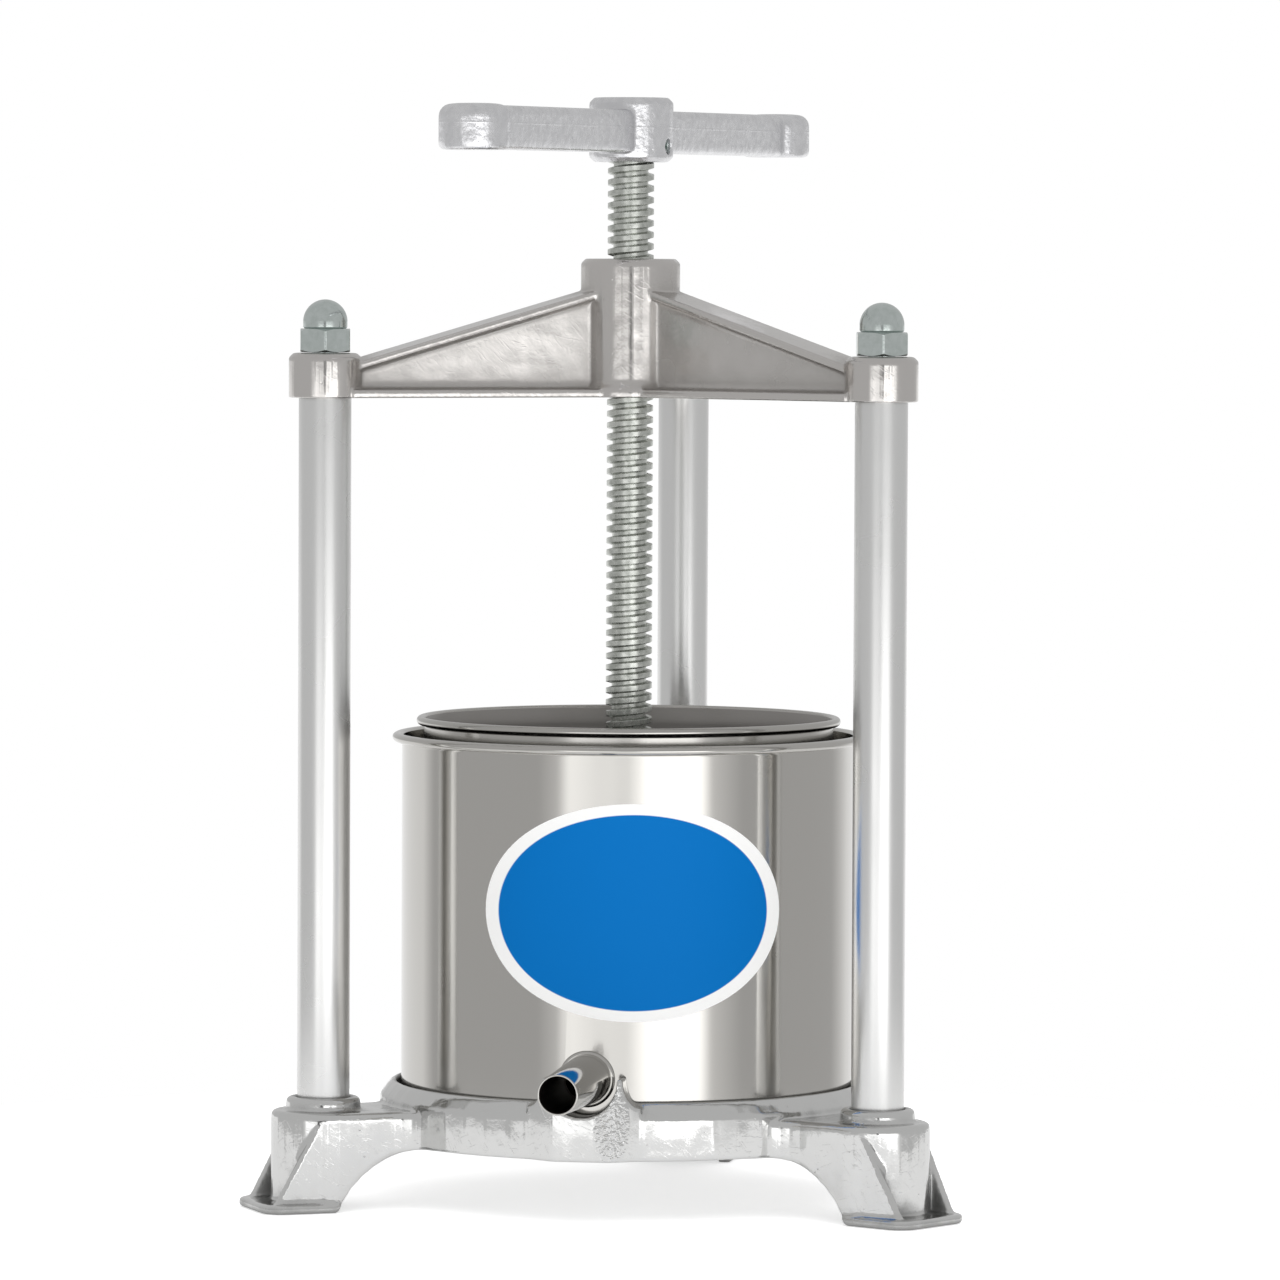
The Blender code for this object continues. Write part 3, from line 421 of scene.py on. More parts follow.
@dataclass(frozen=True)
class PolishedTube:
    """Stainless tube, belt-polished round its axis: near-mirror, with fine rings."""

    name: str = "stainless_polished_tube"
    colour: str = "#e4e4e3"

    def build(self) -> bpy.types.Material:
        """Makes the material."""
        material, add, shader = new_material(self.name)
        place = add("TexCoord", out="Object")
        # The belt's fine lines, drawn 0.9 mm apart so that they show
        rings = stretched(add, place, (6, 6, per_mm(0.9)))
        cloud = add("TexNoise", {"Vector": place, "Scale": per_mm(40), "Detail": 3})
        rough = add("MapRange", {0: cloud, 1: 0.3, 2: 0.7, 3: 0.26, 4: 0.33})
        coat(add, shader, linear(self.colour), rough, [(rings, 0.003)])
        return material


@dataclass(frozen=True)
class BrightStainless:
    """Bright-annealed stainless sheet, lightly brushed round the vessel, with a warm cast."""

    name: str = "stainless_bright_sheet"
    colour: str = "#c0beba"
    brushing: float = 0.003
    smooth: float = 0.075

    def build(self) -> bpy.types.Material:
        """Makes the material."""
        material, add, shader = new_material(self.name)
        place = add("TexCoord", out="Object")
        # 0.15 mm brush lines, drawn 0.8 mm apart so that they show
        lines = stretched(add, place, (9, 9, per_mm(0.8)))
        wide = {"Vector": place, "Scale": per_mm(60)}
        cloud = add("TexNoise", wide | {"Detail": 4})
        handled = {0: cloud, 1: 0.3, 2: 0.7, 3: self.smooth, 4: self.smooth + 0.05}
        rough = add("MapRange", handled)
        # Thin sheet never rolls quite flat, so what it mirrors wavers a little
        waves = add("TexNoise", wide | {"Detail": 1})
        layers = [(waves, 0.05), (lines, self.brushing)]
        coat(add, shader, linear(self.colour), rough, layers)
        return material


@dataclass(frozen=True)
class ZincPlate:
    """Steel under bright zinc: a soft shine with a faint cold green cast and a fine grain."""

    name: str
    colour: str = "#ccd3d1"
    deep: str = "#c2cac7"
    smooth: float = 0.12

    def build(self) -> bpy.types.Material:
        """Makes the material."""
        material, add, shader = new_material(self.name)
        place = add("TexCoord", out="Object")
        cloud = add("TexNoise", {"Vector": place, "Scale": per_mm(2.5), "Detail": 4})
        thick = add("MapRange", {0: cloud, 1: 0.35, 2: 0.65})
        shades = {0: thick, 6: linear(self.deep), 7: linear(self.colour)}
        colour = add("Mix", shades, 2, data_type="RGBA")
        shine = {0: cloud, 1: 0.3, 2: 0.7, 3: self.smooth + 0.06, 4: self.smooth}
        rough = add("MapRange", shine)
        grain = add("TexNoise", {"Vector": place, "Scale": per_mm(0.7), "Detail": 2})
        coat(add, shader, colour, rough, [(grain, 0.012)])
        return material


@dataclass(frozen=True)
class PrintedLabel:
    """Vinyl label under a satin film: white, with a plain blue oval printed on it."""

    name: str = "vinyl_label"
    white: str = "#fbfbfa"
    blue: str = "#0071c0"
    oval: float = 0.9

    def build(self) -> bpy.types.Material:
        """Makes the material."""
        material, add, shader = new_material(self.name, metallic=0.0)
        flat = add("UVMap", uv_map="flat")
        centre = (0.5, 0.5, 0.0)
        centred = add("VectorMath", {0: flat, 1: centre}, operation="SUBTRACT")
        away = add("VectorMath", {0: centred}, 1, operation="LENGTH")
        edge, soft = self.oval / 2, 0.002
        border = {0: away, 1: edge - soft, 2: edge + soft, 3: 1.0, 4: 0.0}
        inks = {0: add("MapRange", border), 6: linear(self.white), 7: linear(self.blue)}
        colour = add("Mix", inks, 2, data_type="RGBA")
        feed(shader, {"Base Color": colour, "Roughness": 0.5, "Specular IOR Level": 0.08})
        return material


def new_material(
    name: str, metallic: float = 1.0
) -> tuple[bpy.types.Material, Adder, bpy.types.Node]:
    """Starts a material, and returns it with what adds nodes to it and its shader node."""
    material = bpy.data.materials.new(name)
    material.use_nodes = True
    shader = material.node_tree.nodes["Principled BSDF"]
    feed(shader, {"Metallic": metallic})
    return material, partial(add_node, material.node_tree), shader


def coat(
    add: Adder,
    shader: bpy.types.Node,
    colour: Socket | Sequence[float],
    rough: Socket,
    layers: Sequence[tuple[Socket, float]],
) -> None:
    """Gives a shader its colour, its roughness and its relief.

    Args:
        add: What adds nodes to its tree.
        shader: The shader node.
        colour: Its base colour.
        rough: Its roughness.
        layers: Height patterns from 0 to 1, each laid on the one before, and how many
            millimetres each of them stands up.
    """
    feed(shader, {"Base Color": colour, "Roughness": rough})
    under = {}
    for pattern, depth in layers:
        raised = {"Strength": 1.0, "Distance": depth * MM, "Height": pattern}
        under = {"Normal": add("Bump", raised | under)}
    feed(shader, under)


def stretched(add: Adder, place: Socket, scale: Sequence[float]) -> Socket:
    """Noise drawn out into lines, with its own scale along each axis."""
    scaled = add("Mapping", {"Vector": place, "Scale": scale})
    return add("TexNoise", {"Vector": scaled, "Scale": 1.0, "Detail": 2.0})


def scratches(add: Adder, place: Socket) -> Socket:
    """Short fine scratches in two crossing directions, drawn 0.5 mm wide so that they show."""
    lines = []
    for turn in (0.5, 2.1):
        inputs = {"Vector": place, "Rotation": (turn, turn / 2, turn * 2)}
        turned = add("Mapping", inputs)
        streak = stretched(add, turned, (per_mm(0.5), per_mm(6), per_mm(6)))
        lines.append(add("MapRange", {0: streak, 1: 0.64, 2: 0.7}))
    return add("Math", {0: lines[0], 1: lines[1]}, operation="MAXIMUM")


FINISHES: dict[str, bpy.types.Material] = {
    # Ground on a belt and buffed: tall waves that break up the reflections
    "casting": CastAluminium(
        "aluminium_buffed_casting",
        bright="#d9d9d8",
        smooth=0.08,
        grain=0.014,
        belt=0.6,
        torn_at=(10 * MM, -88 * MM, 34 * MM),
    ).build(),
    # Blasted before it was buffed: a warm satin web, bright on its edges, with painted shade in its
    # hollows
    "yoke": CastAluminium(
        "aluminium_satin_casting",
        bright="#cecbc8",
        dull="#bab7b4",
        smooth=0.13,
        rough=0.5,
        reach=(0.7, 0.88),
        hollow=17,
        uneven=0.05,
        grain=0.012,
        skin=0.04,
    ).build(),
    # Only tumbled: a pale, finely speckled shine with the mould's seam
    "handle": CastAluminium(
        "aluminium_tumbled_handle",
        bright="#ececee",
        dull="#dadadc",
        smooth=0.24,
        rough=0.32,
        reach=(0.82, 1.18),
        blotches=3,
        grain=0.04,
        seam_height=371.4 * MM,
    ).build(),
    "plate": CastAluminium("aluminium_cast_plate", smooth=0.28, reach=(0.6, 1.0)).build(),
    "tube": PolishedTube().build(),
    "sheet": BrightStainless().build(),
    # Handled more than the vessel is; satin inside, and darker there as painted shade
    "basket": BrightStainless("stainless_basket_sheet", "#b8b6b2", 0.006, 0.15).build(),
    "inside": BrightStainless("stainless_satin_inside", "#979491", 0.006, 0.3).build(),
    "zinc": ZincPlate("steel_bright_zinc").build(),
    # Duller than the nuts, and darker in patches
    "screw": ZincPlate("steel_zinc_thread", "#d0d2cd", "#b3b6b0", 0.24).build(),
    # Painted shade: a dark finish for the dim inside of the spout's bore
    "bore": BrightStainless("stainless_heat_tinted_bore", "#4d4843", 0.006, 0.45).build(),
    "label": PrintedLabel().build(),
}


def dress(
    shape: Shape,
    name: str,
    finish: str,
    body: Body,
    slot: Slot | None = None,
    crease: float = 32.0,
) -> Thing:
    """Makes a finished piece and hangs it on its body.

    Args:
        shape: The piece's shape, in place.
        name: Its name: the CAD node that it stands for, and one more word.
        finish: A key of FINISHES.
        body: The body that it rides on.
        slot: The record's slot for its finish, unless it stands for no node; when given, that node
            is hidden.
        crease: The angle in degrees past which an edge stays sharp.

    Returns:
        The piece.
    """
    piece = held(shape, name)
    piece.data.shade_smooth()
    piece.data.set_sharp_from_angle(angle=math.radians(crease))
    piece.data.materials.clear()
    piece.data.materials.append(FINISHES[finish])
    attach(piece, body.value)
    if slot:
        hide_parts(name.rpartition("_")[0])
    LOG.info("%s: %d faces on %s", name, len(piece.data.polygons), body.value)
    return piece


# ------------ castings


@dataclass
class Casting:
    """A skin over a CAD casting, drawn fine and smoothed so that its edges melt together.

    Args:
        voxel: How fine the skin is drawn.
        passes: How often it is smoothed.
        keep: The share of its faces that stays after that.
    """

    node: str
    body: Body
    finish: str
    voxel: float
    passes: int
    keep: float

    def build(self) -> Thing:
        """Makes the piece."""
        solid = bmesh.new()
        solid.from_mesh(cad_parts[self.node].data)
        bmesh.ops.remove_doubles(solid, verts=solid.verts, dist=1e-6)
        thing = held(solid, "skin")
        remesh = thing.modifiers.new("skin", "REMESH")
        remesh.mode = "VOXEL"
        remesh.voxel_size = self.voxel
        smooth = thing.modifiers.new("melt", "SMOOTH")
        smooth.iterations = self.passes
        smooth.factor = 0.5
        thin = thing.modifiers.new("thin", "DECIMATE")
        thin.ratio = self.keep
        skin = baked(thing)
        return dress(skin, self.node + "_skin", self.finish, self.body, Slot.CASTING, crease=80)


# ------------ pillars and fasteners


@dataclass
class Fasteners:
    """The pillar tubes, and the nuts and washers on the rods inside them."""

    circle: float = 111 * MM
    tube_r: float = 9 * MM
    tube_wall: float = 2 * MM
    flats: float = 17 * MM
    nut_h: float = 8 * MM
    nut_turn: float = 12
    bore_r: float = 5.3 * MM
    dome_r: float = 7.6 * MM
    washer_r: float = 10 * MM
    rod_r: float = 4.6 * MM
    foot_l: float = 16 * MM

    def build(self) -> None:
        """Makes every piece on each of the three pillars."""
        for side in Side:
            for make in (self.tube, self.acorn, self.nut, self.washer, self.rod):
                make(side)

    def place(self, side: Side) -> Matrix:
        """Where this side's pillar stands."""
        return Matrix.Translation(along(side.value, self.circle).translation)

    def plated(self, shape: Shape, node: str, side: Side, crease: float = 32.0) -> None:
        """Puts a zinc-plated piece on this side's rod."""
        moved(shape, self.place(side))
        dress(shape, node + "_plated", "zinc", Body.FRAME, Slot.ZINC, crease)

    def tube(self, side: Side) -> None:
        """One pillar tube, its ends eased."""
        node = f"pillar_tube_{side.tag}"
        low, high = span(node)
        inner, ease = self.tube_r - self.tube_wall, 0.4 * MM
        corners = [
            (inner, middle(node), 0),
            (inner, high, ease),
            (self.tube_r, high, ease),
            (self.tube_r, low, ease),
            (inner, low, ease),
            (inner, middle(node), 0),
        ]
        shape = moved(spun(rounded(corners)[:-1], 96, ring=True), self.place(side))
        dress(shape, node + "_polished", "tube", Body.FRAME, Slot.TUBE)

    def hexagon(self, low: float, high: float) -> Shape:
        """A hexagon nut's outside, its corners turned back by a cone at both ends."""
        corner = self.flats / math.sqrt(3)
        shape = bmesh.new()
        made = bmesh.ops.create_circle(shape, cap_ends=True, segments=6, radius=corner)
        bmesh.ops.translate(shape, vec=(0, 0, low), verts=made["verts"])
        top = bmesh.ops.extrude_face_region(shape, geom=shape.faces[:])
        verts = [v for v in top["geom"] if isinstance(v, bmesh.types.BMVert)]
        bmesh.ops.translate(shape, vec=(0, 0, high - low), verts=verts)
        upright = [e for e in shape.edges if abs(e.verts[0].co.z - e.verts[1].co.z) > MM]
        eased = {"segments": 3, "profile": 0.5, "affect": "EDGES", "material": -1}
        bmesh.ops.bevel(shape, geom=upright, offset=0.45 * MM, **eased)
        bmesh.ops.recalc_face_normals(shape, faces=shape.faces)
        # The cone starts just inside the flats, so that it bites into them as a chamfer does
        flat, slant = self.flats / 2 * 0.985, 0.62
        reach = corner + 2 * MM
        drop = (reach - flat) * slant
        cone = [(0, high + MM), (flat - MM / slant, high + MM), (reach, high - drop)]
        cone += [(reach, low + drop), (flat - MM / slant, low - MM), (0, low - MM)]
        return boolean(shape, spun(cone, 96), "INTERSECT")

    def bored(self, shape: Shape, low: float, high: float) -> Shape:
        """The shape with a countersunk hole up its axis from low to high."""
        bore = self.bore_r
        hole = [(0, high), (bore, high), (bore, low + 0.5 * MM)]
        hole += [(bore + 1.5 * MM, low - MM), (0, low - MM)]
        return boolean(shape, spun(hole, 64), "DIFFERENCE")

    def acorn(self, side: Side) -> None:
        """One acorn nut: a chamfered hexagon under a smooth dome."""
        node = f"acorn_nut_{side.tag}"
        low, high = span(node)
        neck, spring = low + self.nut_h, high - self.dome_r
        dome = arc_points((0, spring), self.dome_r, 90, 0, 16)
        dome += [(self.dome_r, neck + 0.6 * MM), (self.dome_r - 0.5 * MM, neck)]
        dome += [(self.dome_r - MM, neck - MM), (0, neck - MM)]
        shape = boolean(self.hexagon(low, neck), spun(dome, 96), "UNION")
        shape = self.bored(shape, low, low + 13 * MM)
        turned = moved(shape, Matrix.Rotation(math.radians(self.nut_turn), 4, "Z"))
        self.plated(turned, node, side, crease=8)

    def nut(self, side: Side) -> None:
        """One plain nut under a leg."""
        node = f"base_nut_{side.tag}"
        low, high = span(node)
        self.plated(self.bored(self.hexagon(low, high), low, high + MM), node, side)

    def washer(self, side: Side) -> None:
        """One washer, its edges eased by the press."""
        node = f"base_washer_{side.tag}"
        low, high = span(node)
        inner, outer, ease = self.bore_r, self.washer_r, 0.35 * MM
        corners = [(inner, high, 0), (outer, high, ease), (outer, low, ease), (inner, low, 0)]
        self.plated(spun(rounded(corners, 3), 64, ring=True), node, side)

    def rod(self, side: Side) -> None:
        """One tie rod; its threaded foot shows under the leg."""
        node = f"tie_rod_{side.tag}"
        low, high = span(node)
        foot = Thread(4.1 * MM, 5 * MM, 1.5 * MM, 0.75, 0.35).between(low, low + self.foot_l, 32)
        plain = low + self.foot_l - MM
        corners = [(0, high, 0), (self.rod_r, high, 0), (self.rod_r, plain, 0), (0, plain, 0)]
        self.plated(joined(spun(rounded(corners), 48), foot), node, side)


@dataclass
class Thread:
    """A helical thread of one start, right-handed.

    Args:
        root_r: Its radius at the bottom of the groove.
        crest_r: Its radius at the top of the ridge.
        pitch: How far it climbs in a turn.
        flank: The share of the pitch that both flanks take.
        crest: The share of the pitch that the crest takes.
    """

    root_r: float
    crest_r: float
    pitch: float
    flank: float
    crest: float

    def profile(self) -> list[Point]:
        """One pitch of its section, from the middle of one root to the next."""
        root = (1 - self.flank - self.crest) / 2
        ease = 0.022
        shares = [0, root, root + self.flank / 2 - ease / 2, root + self.flank / 2 + ease]
        shares += [1 - s for s in reversed(shares)]
        dip = (self.crest_r - self.root_r) * 0.05
        radii = [self.root_r, self.root_r, self.crest_r - dip, self.crest_r]
        radii += radii[::-1]
        return [(r, s * self.pitch) for r, s in zip(radii, shares)]

    def between(self, low: float, high: float, steps: int) -> Shape:
        """The closed thread, cut off square at both heights, with so many steps a turn."""
        turns = math.ceil((high - low) / self.pitch) + 2
        shape = bmesh.new()
        start = low - self.pitch
        verts = [shape.verts.new((r, 0, start + z)) for r, z in self.profile()]
        edges = [shape.edges.new(pair) for pair in zip(verts, verts[1:])]
        climb = (0, 0, self.pitch / steps)
        bmesh.ops.spin(
            shape, geom=verts + edges, dvec=climb, steps=steps, use_merge=False, **FULL_TURN
        )
        bmesh.ops.delete(shape, geom=[e for e in shape.edges if e.is_wire], context="EDGES")
        one_turn = shape.faces[:]
        for turn in range(1, turns):
            copy = bmesh.ops.duplicate(shape, geom=one_turn)["geom"]
            above = [v for v in copy if isinstance(v, bmesh.types.BMVert)]
            bmesh.ops.translate(shape, vec=(0, 0, turn * self.pitch), verts=above)
        bmesh.ops.remove_doubles(shape, verts=shape.verts, dist=2e-6)
        for height, upper in ((low, False), (high, True)):
            cut = bmesh.ops.bisect_plane(
                shape,
                geom=[*shape.verts, *shape.edges, *shape.faces],
                dist=1e-7,
                plane_co=(0, 0, height),
                plane_no=(0, 0, 1),
                clear_outer=upper,
                clear_inner=not upper,
            )
            rim = [e for e in cut["geom_cut"] if isinstance(e, bmesh.types.BMEdge)]
            bmesh.ops.edgenet_fill(shape, edges=rim)
        bmesh.ops.recalc_face_normals(shape, faces=shape.faces)
        return shape


# ------------ screw


@dataclass
class PressScrew:
    """The trapezoidal press screw, and the small pieces that fix it."""

    crest_r: float = 8 * MM
    root_r: float = 6 * MM
    pitch: float = 4 * MM
    journal_r: float = 6 * MM
    journal_l: float = 19 * MM
    groove_r: float = 4.6 * MM
    collar_l: float = 2.3 * MM
    pin_r: float = 2.4 * MM
    pin_wall: float = 0.8 * MM
    pin_half: float = 13 * MM
    pin_turn: float = 166

    def build(self) -> None:
        """Makes the screw, the roll pin and the grub screw."""
        self.screw()
        self.roll_pin()
        self.grub()

    def screw(self) -> None:
        """The threaded shaft with the plain journal that turns in the plate."""
        low, high = span("press_screw")
        shoulder, groove = low + self.journal_l, low + self.journal_l / 2
        thread = Thread(self.root_r, self.crest_r, self.pitch, 0.3, 0.44)
        shaft = thread.between(shoulder + MM, high, 72)
        ease, brim = 0.6 * MM, 0.2 * MM
        corners = [
            (0, shoulder + self.collar_l, 0),
            (self.crest_r, shoulder + self.collar_l, ease),
            (self.crest_r, shoulder, ease),
            (self.journal_r, shoulder, 0.3 * MM),
            (self.journal_r, groove + 2 * MM, brim),
            (self.groove_r, groove + 2 * MM, brim),
            (self.groove_r, groove - 2 * MM, brim),
            (self.journal_r, groove - 2 * MM, brim),
            (self.journal_r, low, ease),
            (0, low, 0),
        ]
        shape = joined(shaft, spun(rounded(corners, 3), 96))
        dress(shape, "press_screw_thread", "screw", Body.SCREW, Slot.ZINC)

    def roll_pin(self) -> None:
        """The slotted spring pin through the handle's hub."""
        inner, half = self.pin_r - self.pin_wall, self.pin_half
        corners = [
            (inner, 0, 0),
            (inner, half, 0.1 * MM),
            (self.pin_r, half, 0.5 * MM),
            (self.pin_r, -half, 0.5 * MM),
            (inner, -half, 0.1 * MM),
            (inner, 0, 0),
        ]
        pin = spun(rounded(corners, 3)[:-1], 40, ring=True)
        moved(pin, facing(self.pin_turn, middle("handle_roll_pin")))
        dress(pin, "handle_roll_pin_plated", "zinc", Body.SCREW, Slot.ZINC)

    def grub(self) -> None:
        """The grub screw in the plate's boss, with its hexagon socket."""
        thread = Thread(2.5 * MM, 3 * MM, 1 * MM, 0.7, 0.2).between(6.4 * MM, 15.6 * MM, 24)
        core, back, front = 1.7 * MM, 7 * MM, 5 * MM
        corners = [(0, back, 0), (core, back, 0), (core, front, 0.2 * MM), (0, front, 0)]
        tip = spun(rounded(corners), 24)
        key = cylinder(core, 6 * MM, 6, Matrix.Translation((0, 0, 16.1 * MM)))
        shape = joined(boolean(thread, key, "DIFFERENCE"), tip)
        moved(shape, facing(FRONT, middle("plate_grub_screw")))
        dress(shape, "plate_grub_screw_plated", "zinc", Body.PLATE, Slot.ZINC)


# ------------ vessel, spout, basket


@dataclass
class Vessel:
    """The outer vessel with its curled rim, its welded spout and its label."""

    radius: float = 78.6 * MM
    wall: float = 0.8 * MM
    corner: float = 4 * MM
    bead: float = 2.0 * MM
    spout_root: float = 8.5 * MM
    spout_tip: float = 6.9 * MM
    spout_wall: float = 0.7 * MM
    spout_height: float = 48.6 * MM
    weld: float = 1.0 * MM
    label_half: tuple[float, float] = (54 * MM, 37 * MM)
    label_at: tuple[float, float] = (-78.5, 105.1 * MM)
    label_t: float = 0.12 * MM

    def build(self) -> None:
        """Makes the shell, the spout and the label."""
        self.shell()
        self.spout()
        self.label()

    def shell(self) -> None:
        """The shell: a drawn cup whose edge is rolled outwards into a bead."""
        low, high = span("container_shell")
        radius, corner, wall = self.radius, self.corner, self.wall
        inner = radius - wall
        rim = high - self.bead * 0.8
        turn = (radius - corner, low + corner)
        rise = (0.06, 0.5, 0.94)
        profile = [(0, low + wall), (inner - corner, low + wall)]
        profile += arc_points(turn, corner - wall, -80, 0, 8)
        profile += [(inner, low + share * (rim - low)) for share in rise]
        bead = arc_points((0, 0), self.bead, 155, -125, 20)
        profile += [(radius + self.bead * 0.7 + x, rim + z * 0.8) for x, z in bead]
        profile += [(radius, rim - self.bead), (radius, rim - self.bead - 0.4 * MM)]
        profile += [(radius, low + share * (rim - low)) for share in reversed(rise)]
        profile += [(radius, low + corner + 0.4 * MM)]
        profile += arc_points(turn, corner, 0, -90, 10)
        profile += [(0, low)]
        hole, deep = self.spout_root - 0.2 * MM, 20 * MM
        drill = spun([(0, deep), (hole, deep), (hole, -deep), (0, -deep)], 64)
        moved(drill, facing(FRONT, self.spout_height) @ Matrix.Translation((0, 0, radius)))
        shape = boolean(spun(profile, 256), drill, "DIFFERENCE")
        dress(shape, "container_shell_sheet", "sheet", Body.CONTAINER, Slot.SHEET)

    def spout(self) -> None:
        """The tapered spout tube and the weld round its root."""
        low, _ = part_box("spout_tube")
        tip, root = -low.y, self.radius
        inner = self.radius - 2.4 * MM
        wall, ease = self.spout_wall, 0.25 * MM
        corners = [
            (self.spout_root - wall, root, 0),
            (self.spout_tip - wall, tip, ease),
            (self.spout_tip, tip, ease),
            (self.spout_root, root, 0),
            (self.spout_root, inner, 0),
            (self.spout_root - wall, inner, 0),
        ]
        place = facing(FRONT, self.spout_height)
        tube = moved(spun(rounded(corners, 3), 96, ring=True), place)
        round_root = arc_points((self.spout_root + 0.15 * MM, 0), self.weld, 0, 330, 11)
        weld = spun(round_root, 96, ring=True)
        for vert in weld.verts:
            sideways = vert.co.y
            vert.co.z += math.sqrt(self.radius**2 - sideways**2)
        shape = joined(tube, moved(weld, place))
        piece = dress(shape, "spout_tube_drawn", "sheet", Body.CONTAINER, Slot.SHEET)
        self.tint_bore(piece)

    def tint_bore(self, piece: Thing) -> None:
        """Gives the faces inside the spout a dark finish: painted shade for the dim inside of the
        tube.
        """
        piece.data.materials.append(FINISHES["bore"])
        for face in piece.data.polygons:
            out = Vector((face.center.x, 0, face.center.z - self.spout_height))
            face.material_index = int(face.normal.dot(out) < -0.5 * out.length)

    def label(self) -> None:
        """A thin oval label, laid flat on the vessel's side."""
        rings = 24
        disc = spun([(i / rings, 0.0) for i in range(rings + 1)], 96)
        layer = disc.loops.layers.uv.new("flat")
        for face in disc.faces:
            for loop in face.loops:
                loop[layer].uv = (0.5 + loop.vert.co.x / 2, 0.5 + loop.vert.co.y / 2)
        bmesh.ops.solidify(disc, geom=disc.faces[:], thickness=self.label_t)
        half_w, half_h = self.label_half
        azimuth, height = self.label_at
        for vert in disc.verts:
            front = vert.co.z > -self.label_t / 2
            out = self.radius + 0.02 * MM + (self.label_t if front else 0)
            angle = math.radians(azimuth) + vert.co.x * half_w / self.radius
            vert.co = (out * math.cos(angle), out * math.sin(angle), height + vert.co.y * half_h)
        bmesh.ops.recalc_face_normals(disc, faces=disc.faces)
        dress(disc, "container_label", "label", Body.CONTAINER)


@dataclass
class Basket:
    """The perforated basket with its rolled rim, its ledge and its strainer."""

    radius: float = 71 * MM
    wall: float = 0.9 * MM
    bead: float = 1.5 * MM
    ledge: float = 7 * MM
    ledge_rise: float = 5 * MM
    hole_r: float = 2 * MM
    drain_r: float = 3 * MM
    drains: int = 6
    rows: int = 4
    holes_round: int = 15
    row_start: float = 18 * MM
    row_pitch: float = 24 * MM
    rings: dict[float, int] = field(default_factory=lambda: {0.29: 6, 0.54: 12, 0.8: 18})
    drill_l: float = 20 * MM

    def build(self) -> None:
        """Makes the basket and the strainer."""
        self.shell()
        self.strainer()

    def shell(self) -> None:
        """The wall, its holes drilled through in staggered rows."""
        low, high = span("basket_shell")
        inner = self.radius - self.wall
        rim = high - self.bead
        shelf = low + self.ledge_rise
        profile = [(inner, low), (inner, shelf), (inner - self.ledge, shelf)]
        profile += [(inner - self.ledge, shelf + self.wall), (inner, shelf + self.wall)]
        profile += [(inner, shelf + share * (rim - shelf)) for share in (0.03, 0.5, 0.96)]
        under = rim - 1.2 * self.bead
        profile += arc_points((self.radius + self.bead * 0.73, rim), self.bead, 155, -125, 20)
        profile += [(self.radius, under), (self.radius, under - 0.3 * MM)]
        profile += [(self.radius, shelf + share * (rim - shelf)) for share in (0.96, 0.5, 0.03)]
        profile += [(self.radius, low)]
        halfway = [(i + 0.5) / self.drains for i in range(self.drains)]
        drills = [self.drill(self.drain_r, turns, low) for turns in halfway]
        for row in range(self.rows):
            height = low + self.row_start + row * self.row_pitch
            for i in range(self.holes_round):
                drills.append(self.drill(self.hole_r, (i + row % 2 / 2) / self.holes_round, height))
        shape = boolean(spun(profile, 240, ring=True), joined(*drills), "DIFFERENCE")
        piece = dress(shape, "basket_shell_sheet", "basket", Body.BASKET, Slot.SHEET)
        # Painted shade: the faces inside the basket take a darker finish for the shade in there
        piece.data.materials.append(FINISHES["inside"])
        for face in piece.data.polygons:
            out = Vector((face.center.x, face.center.y, 0))
            face.material_index = int(out.length < inner + 0.4 * MM and face.normal.dot(out) < 0)

    def drill(self, radius: float, turns: float, height: float) -> Shape:
        """A cylinder through the wall at this share of a turn and at this height."""
        place = facing(360 * turns, height) @ Matrix.Translation((0, 0, self.radius))
        return cylinder(radius, self.drill_l, 20, place)

    def strainer(self) -> None:
        """The perforated disc on the ledge."""
        node = "basket_strainer"
        low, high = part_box(node)
        outer, ease = high.x, 0.4 * MM
        corners = [(0, high.z, 0), (outer, high.z, ease), (outer, low.z, ease), (0, low.z, 0)]
        spots = [(0, 0)]
        for share, count in self.rings.items():
            spots += [(outer * share, 360 * i / count) for i in range(count)]
        places = [along(degrees, out, middle(node)) for out, degrees in spots]
        drills = [cylinder(self.hole_r, self.drill_l, 24, place) for place in places]
        shape = boolean(spun(rounded(corners, 3), 180), joined(*drills), "DIFFERENCE")
        dress(shape, node + "_sheet", "basket", Body.BASKET, Slot.SHEET)


# ------------ studio


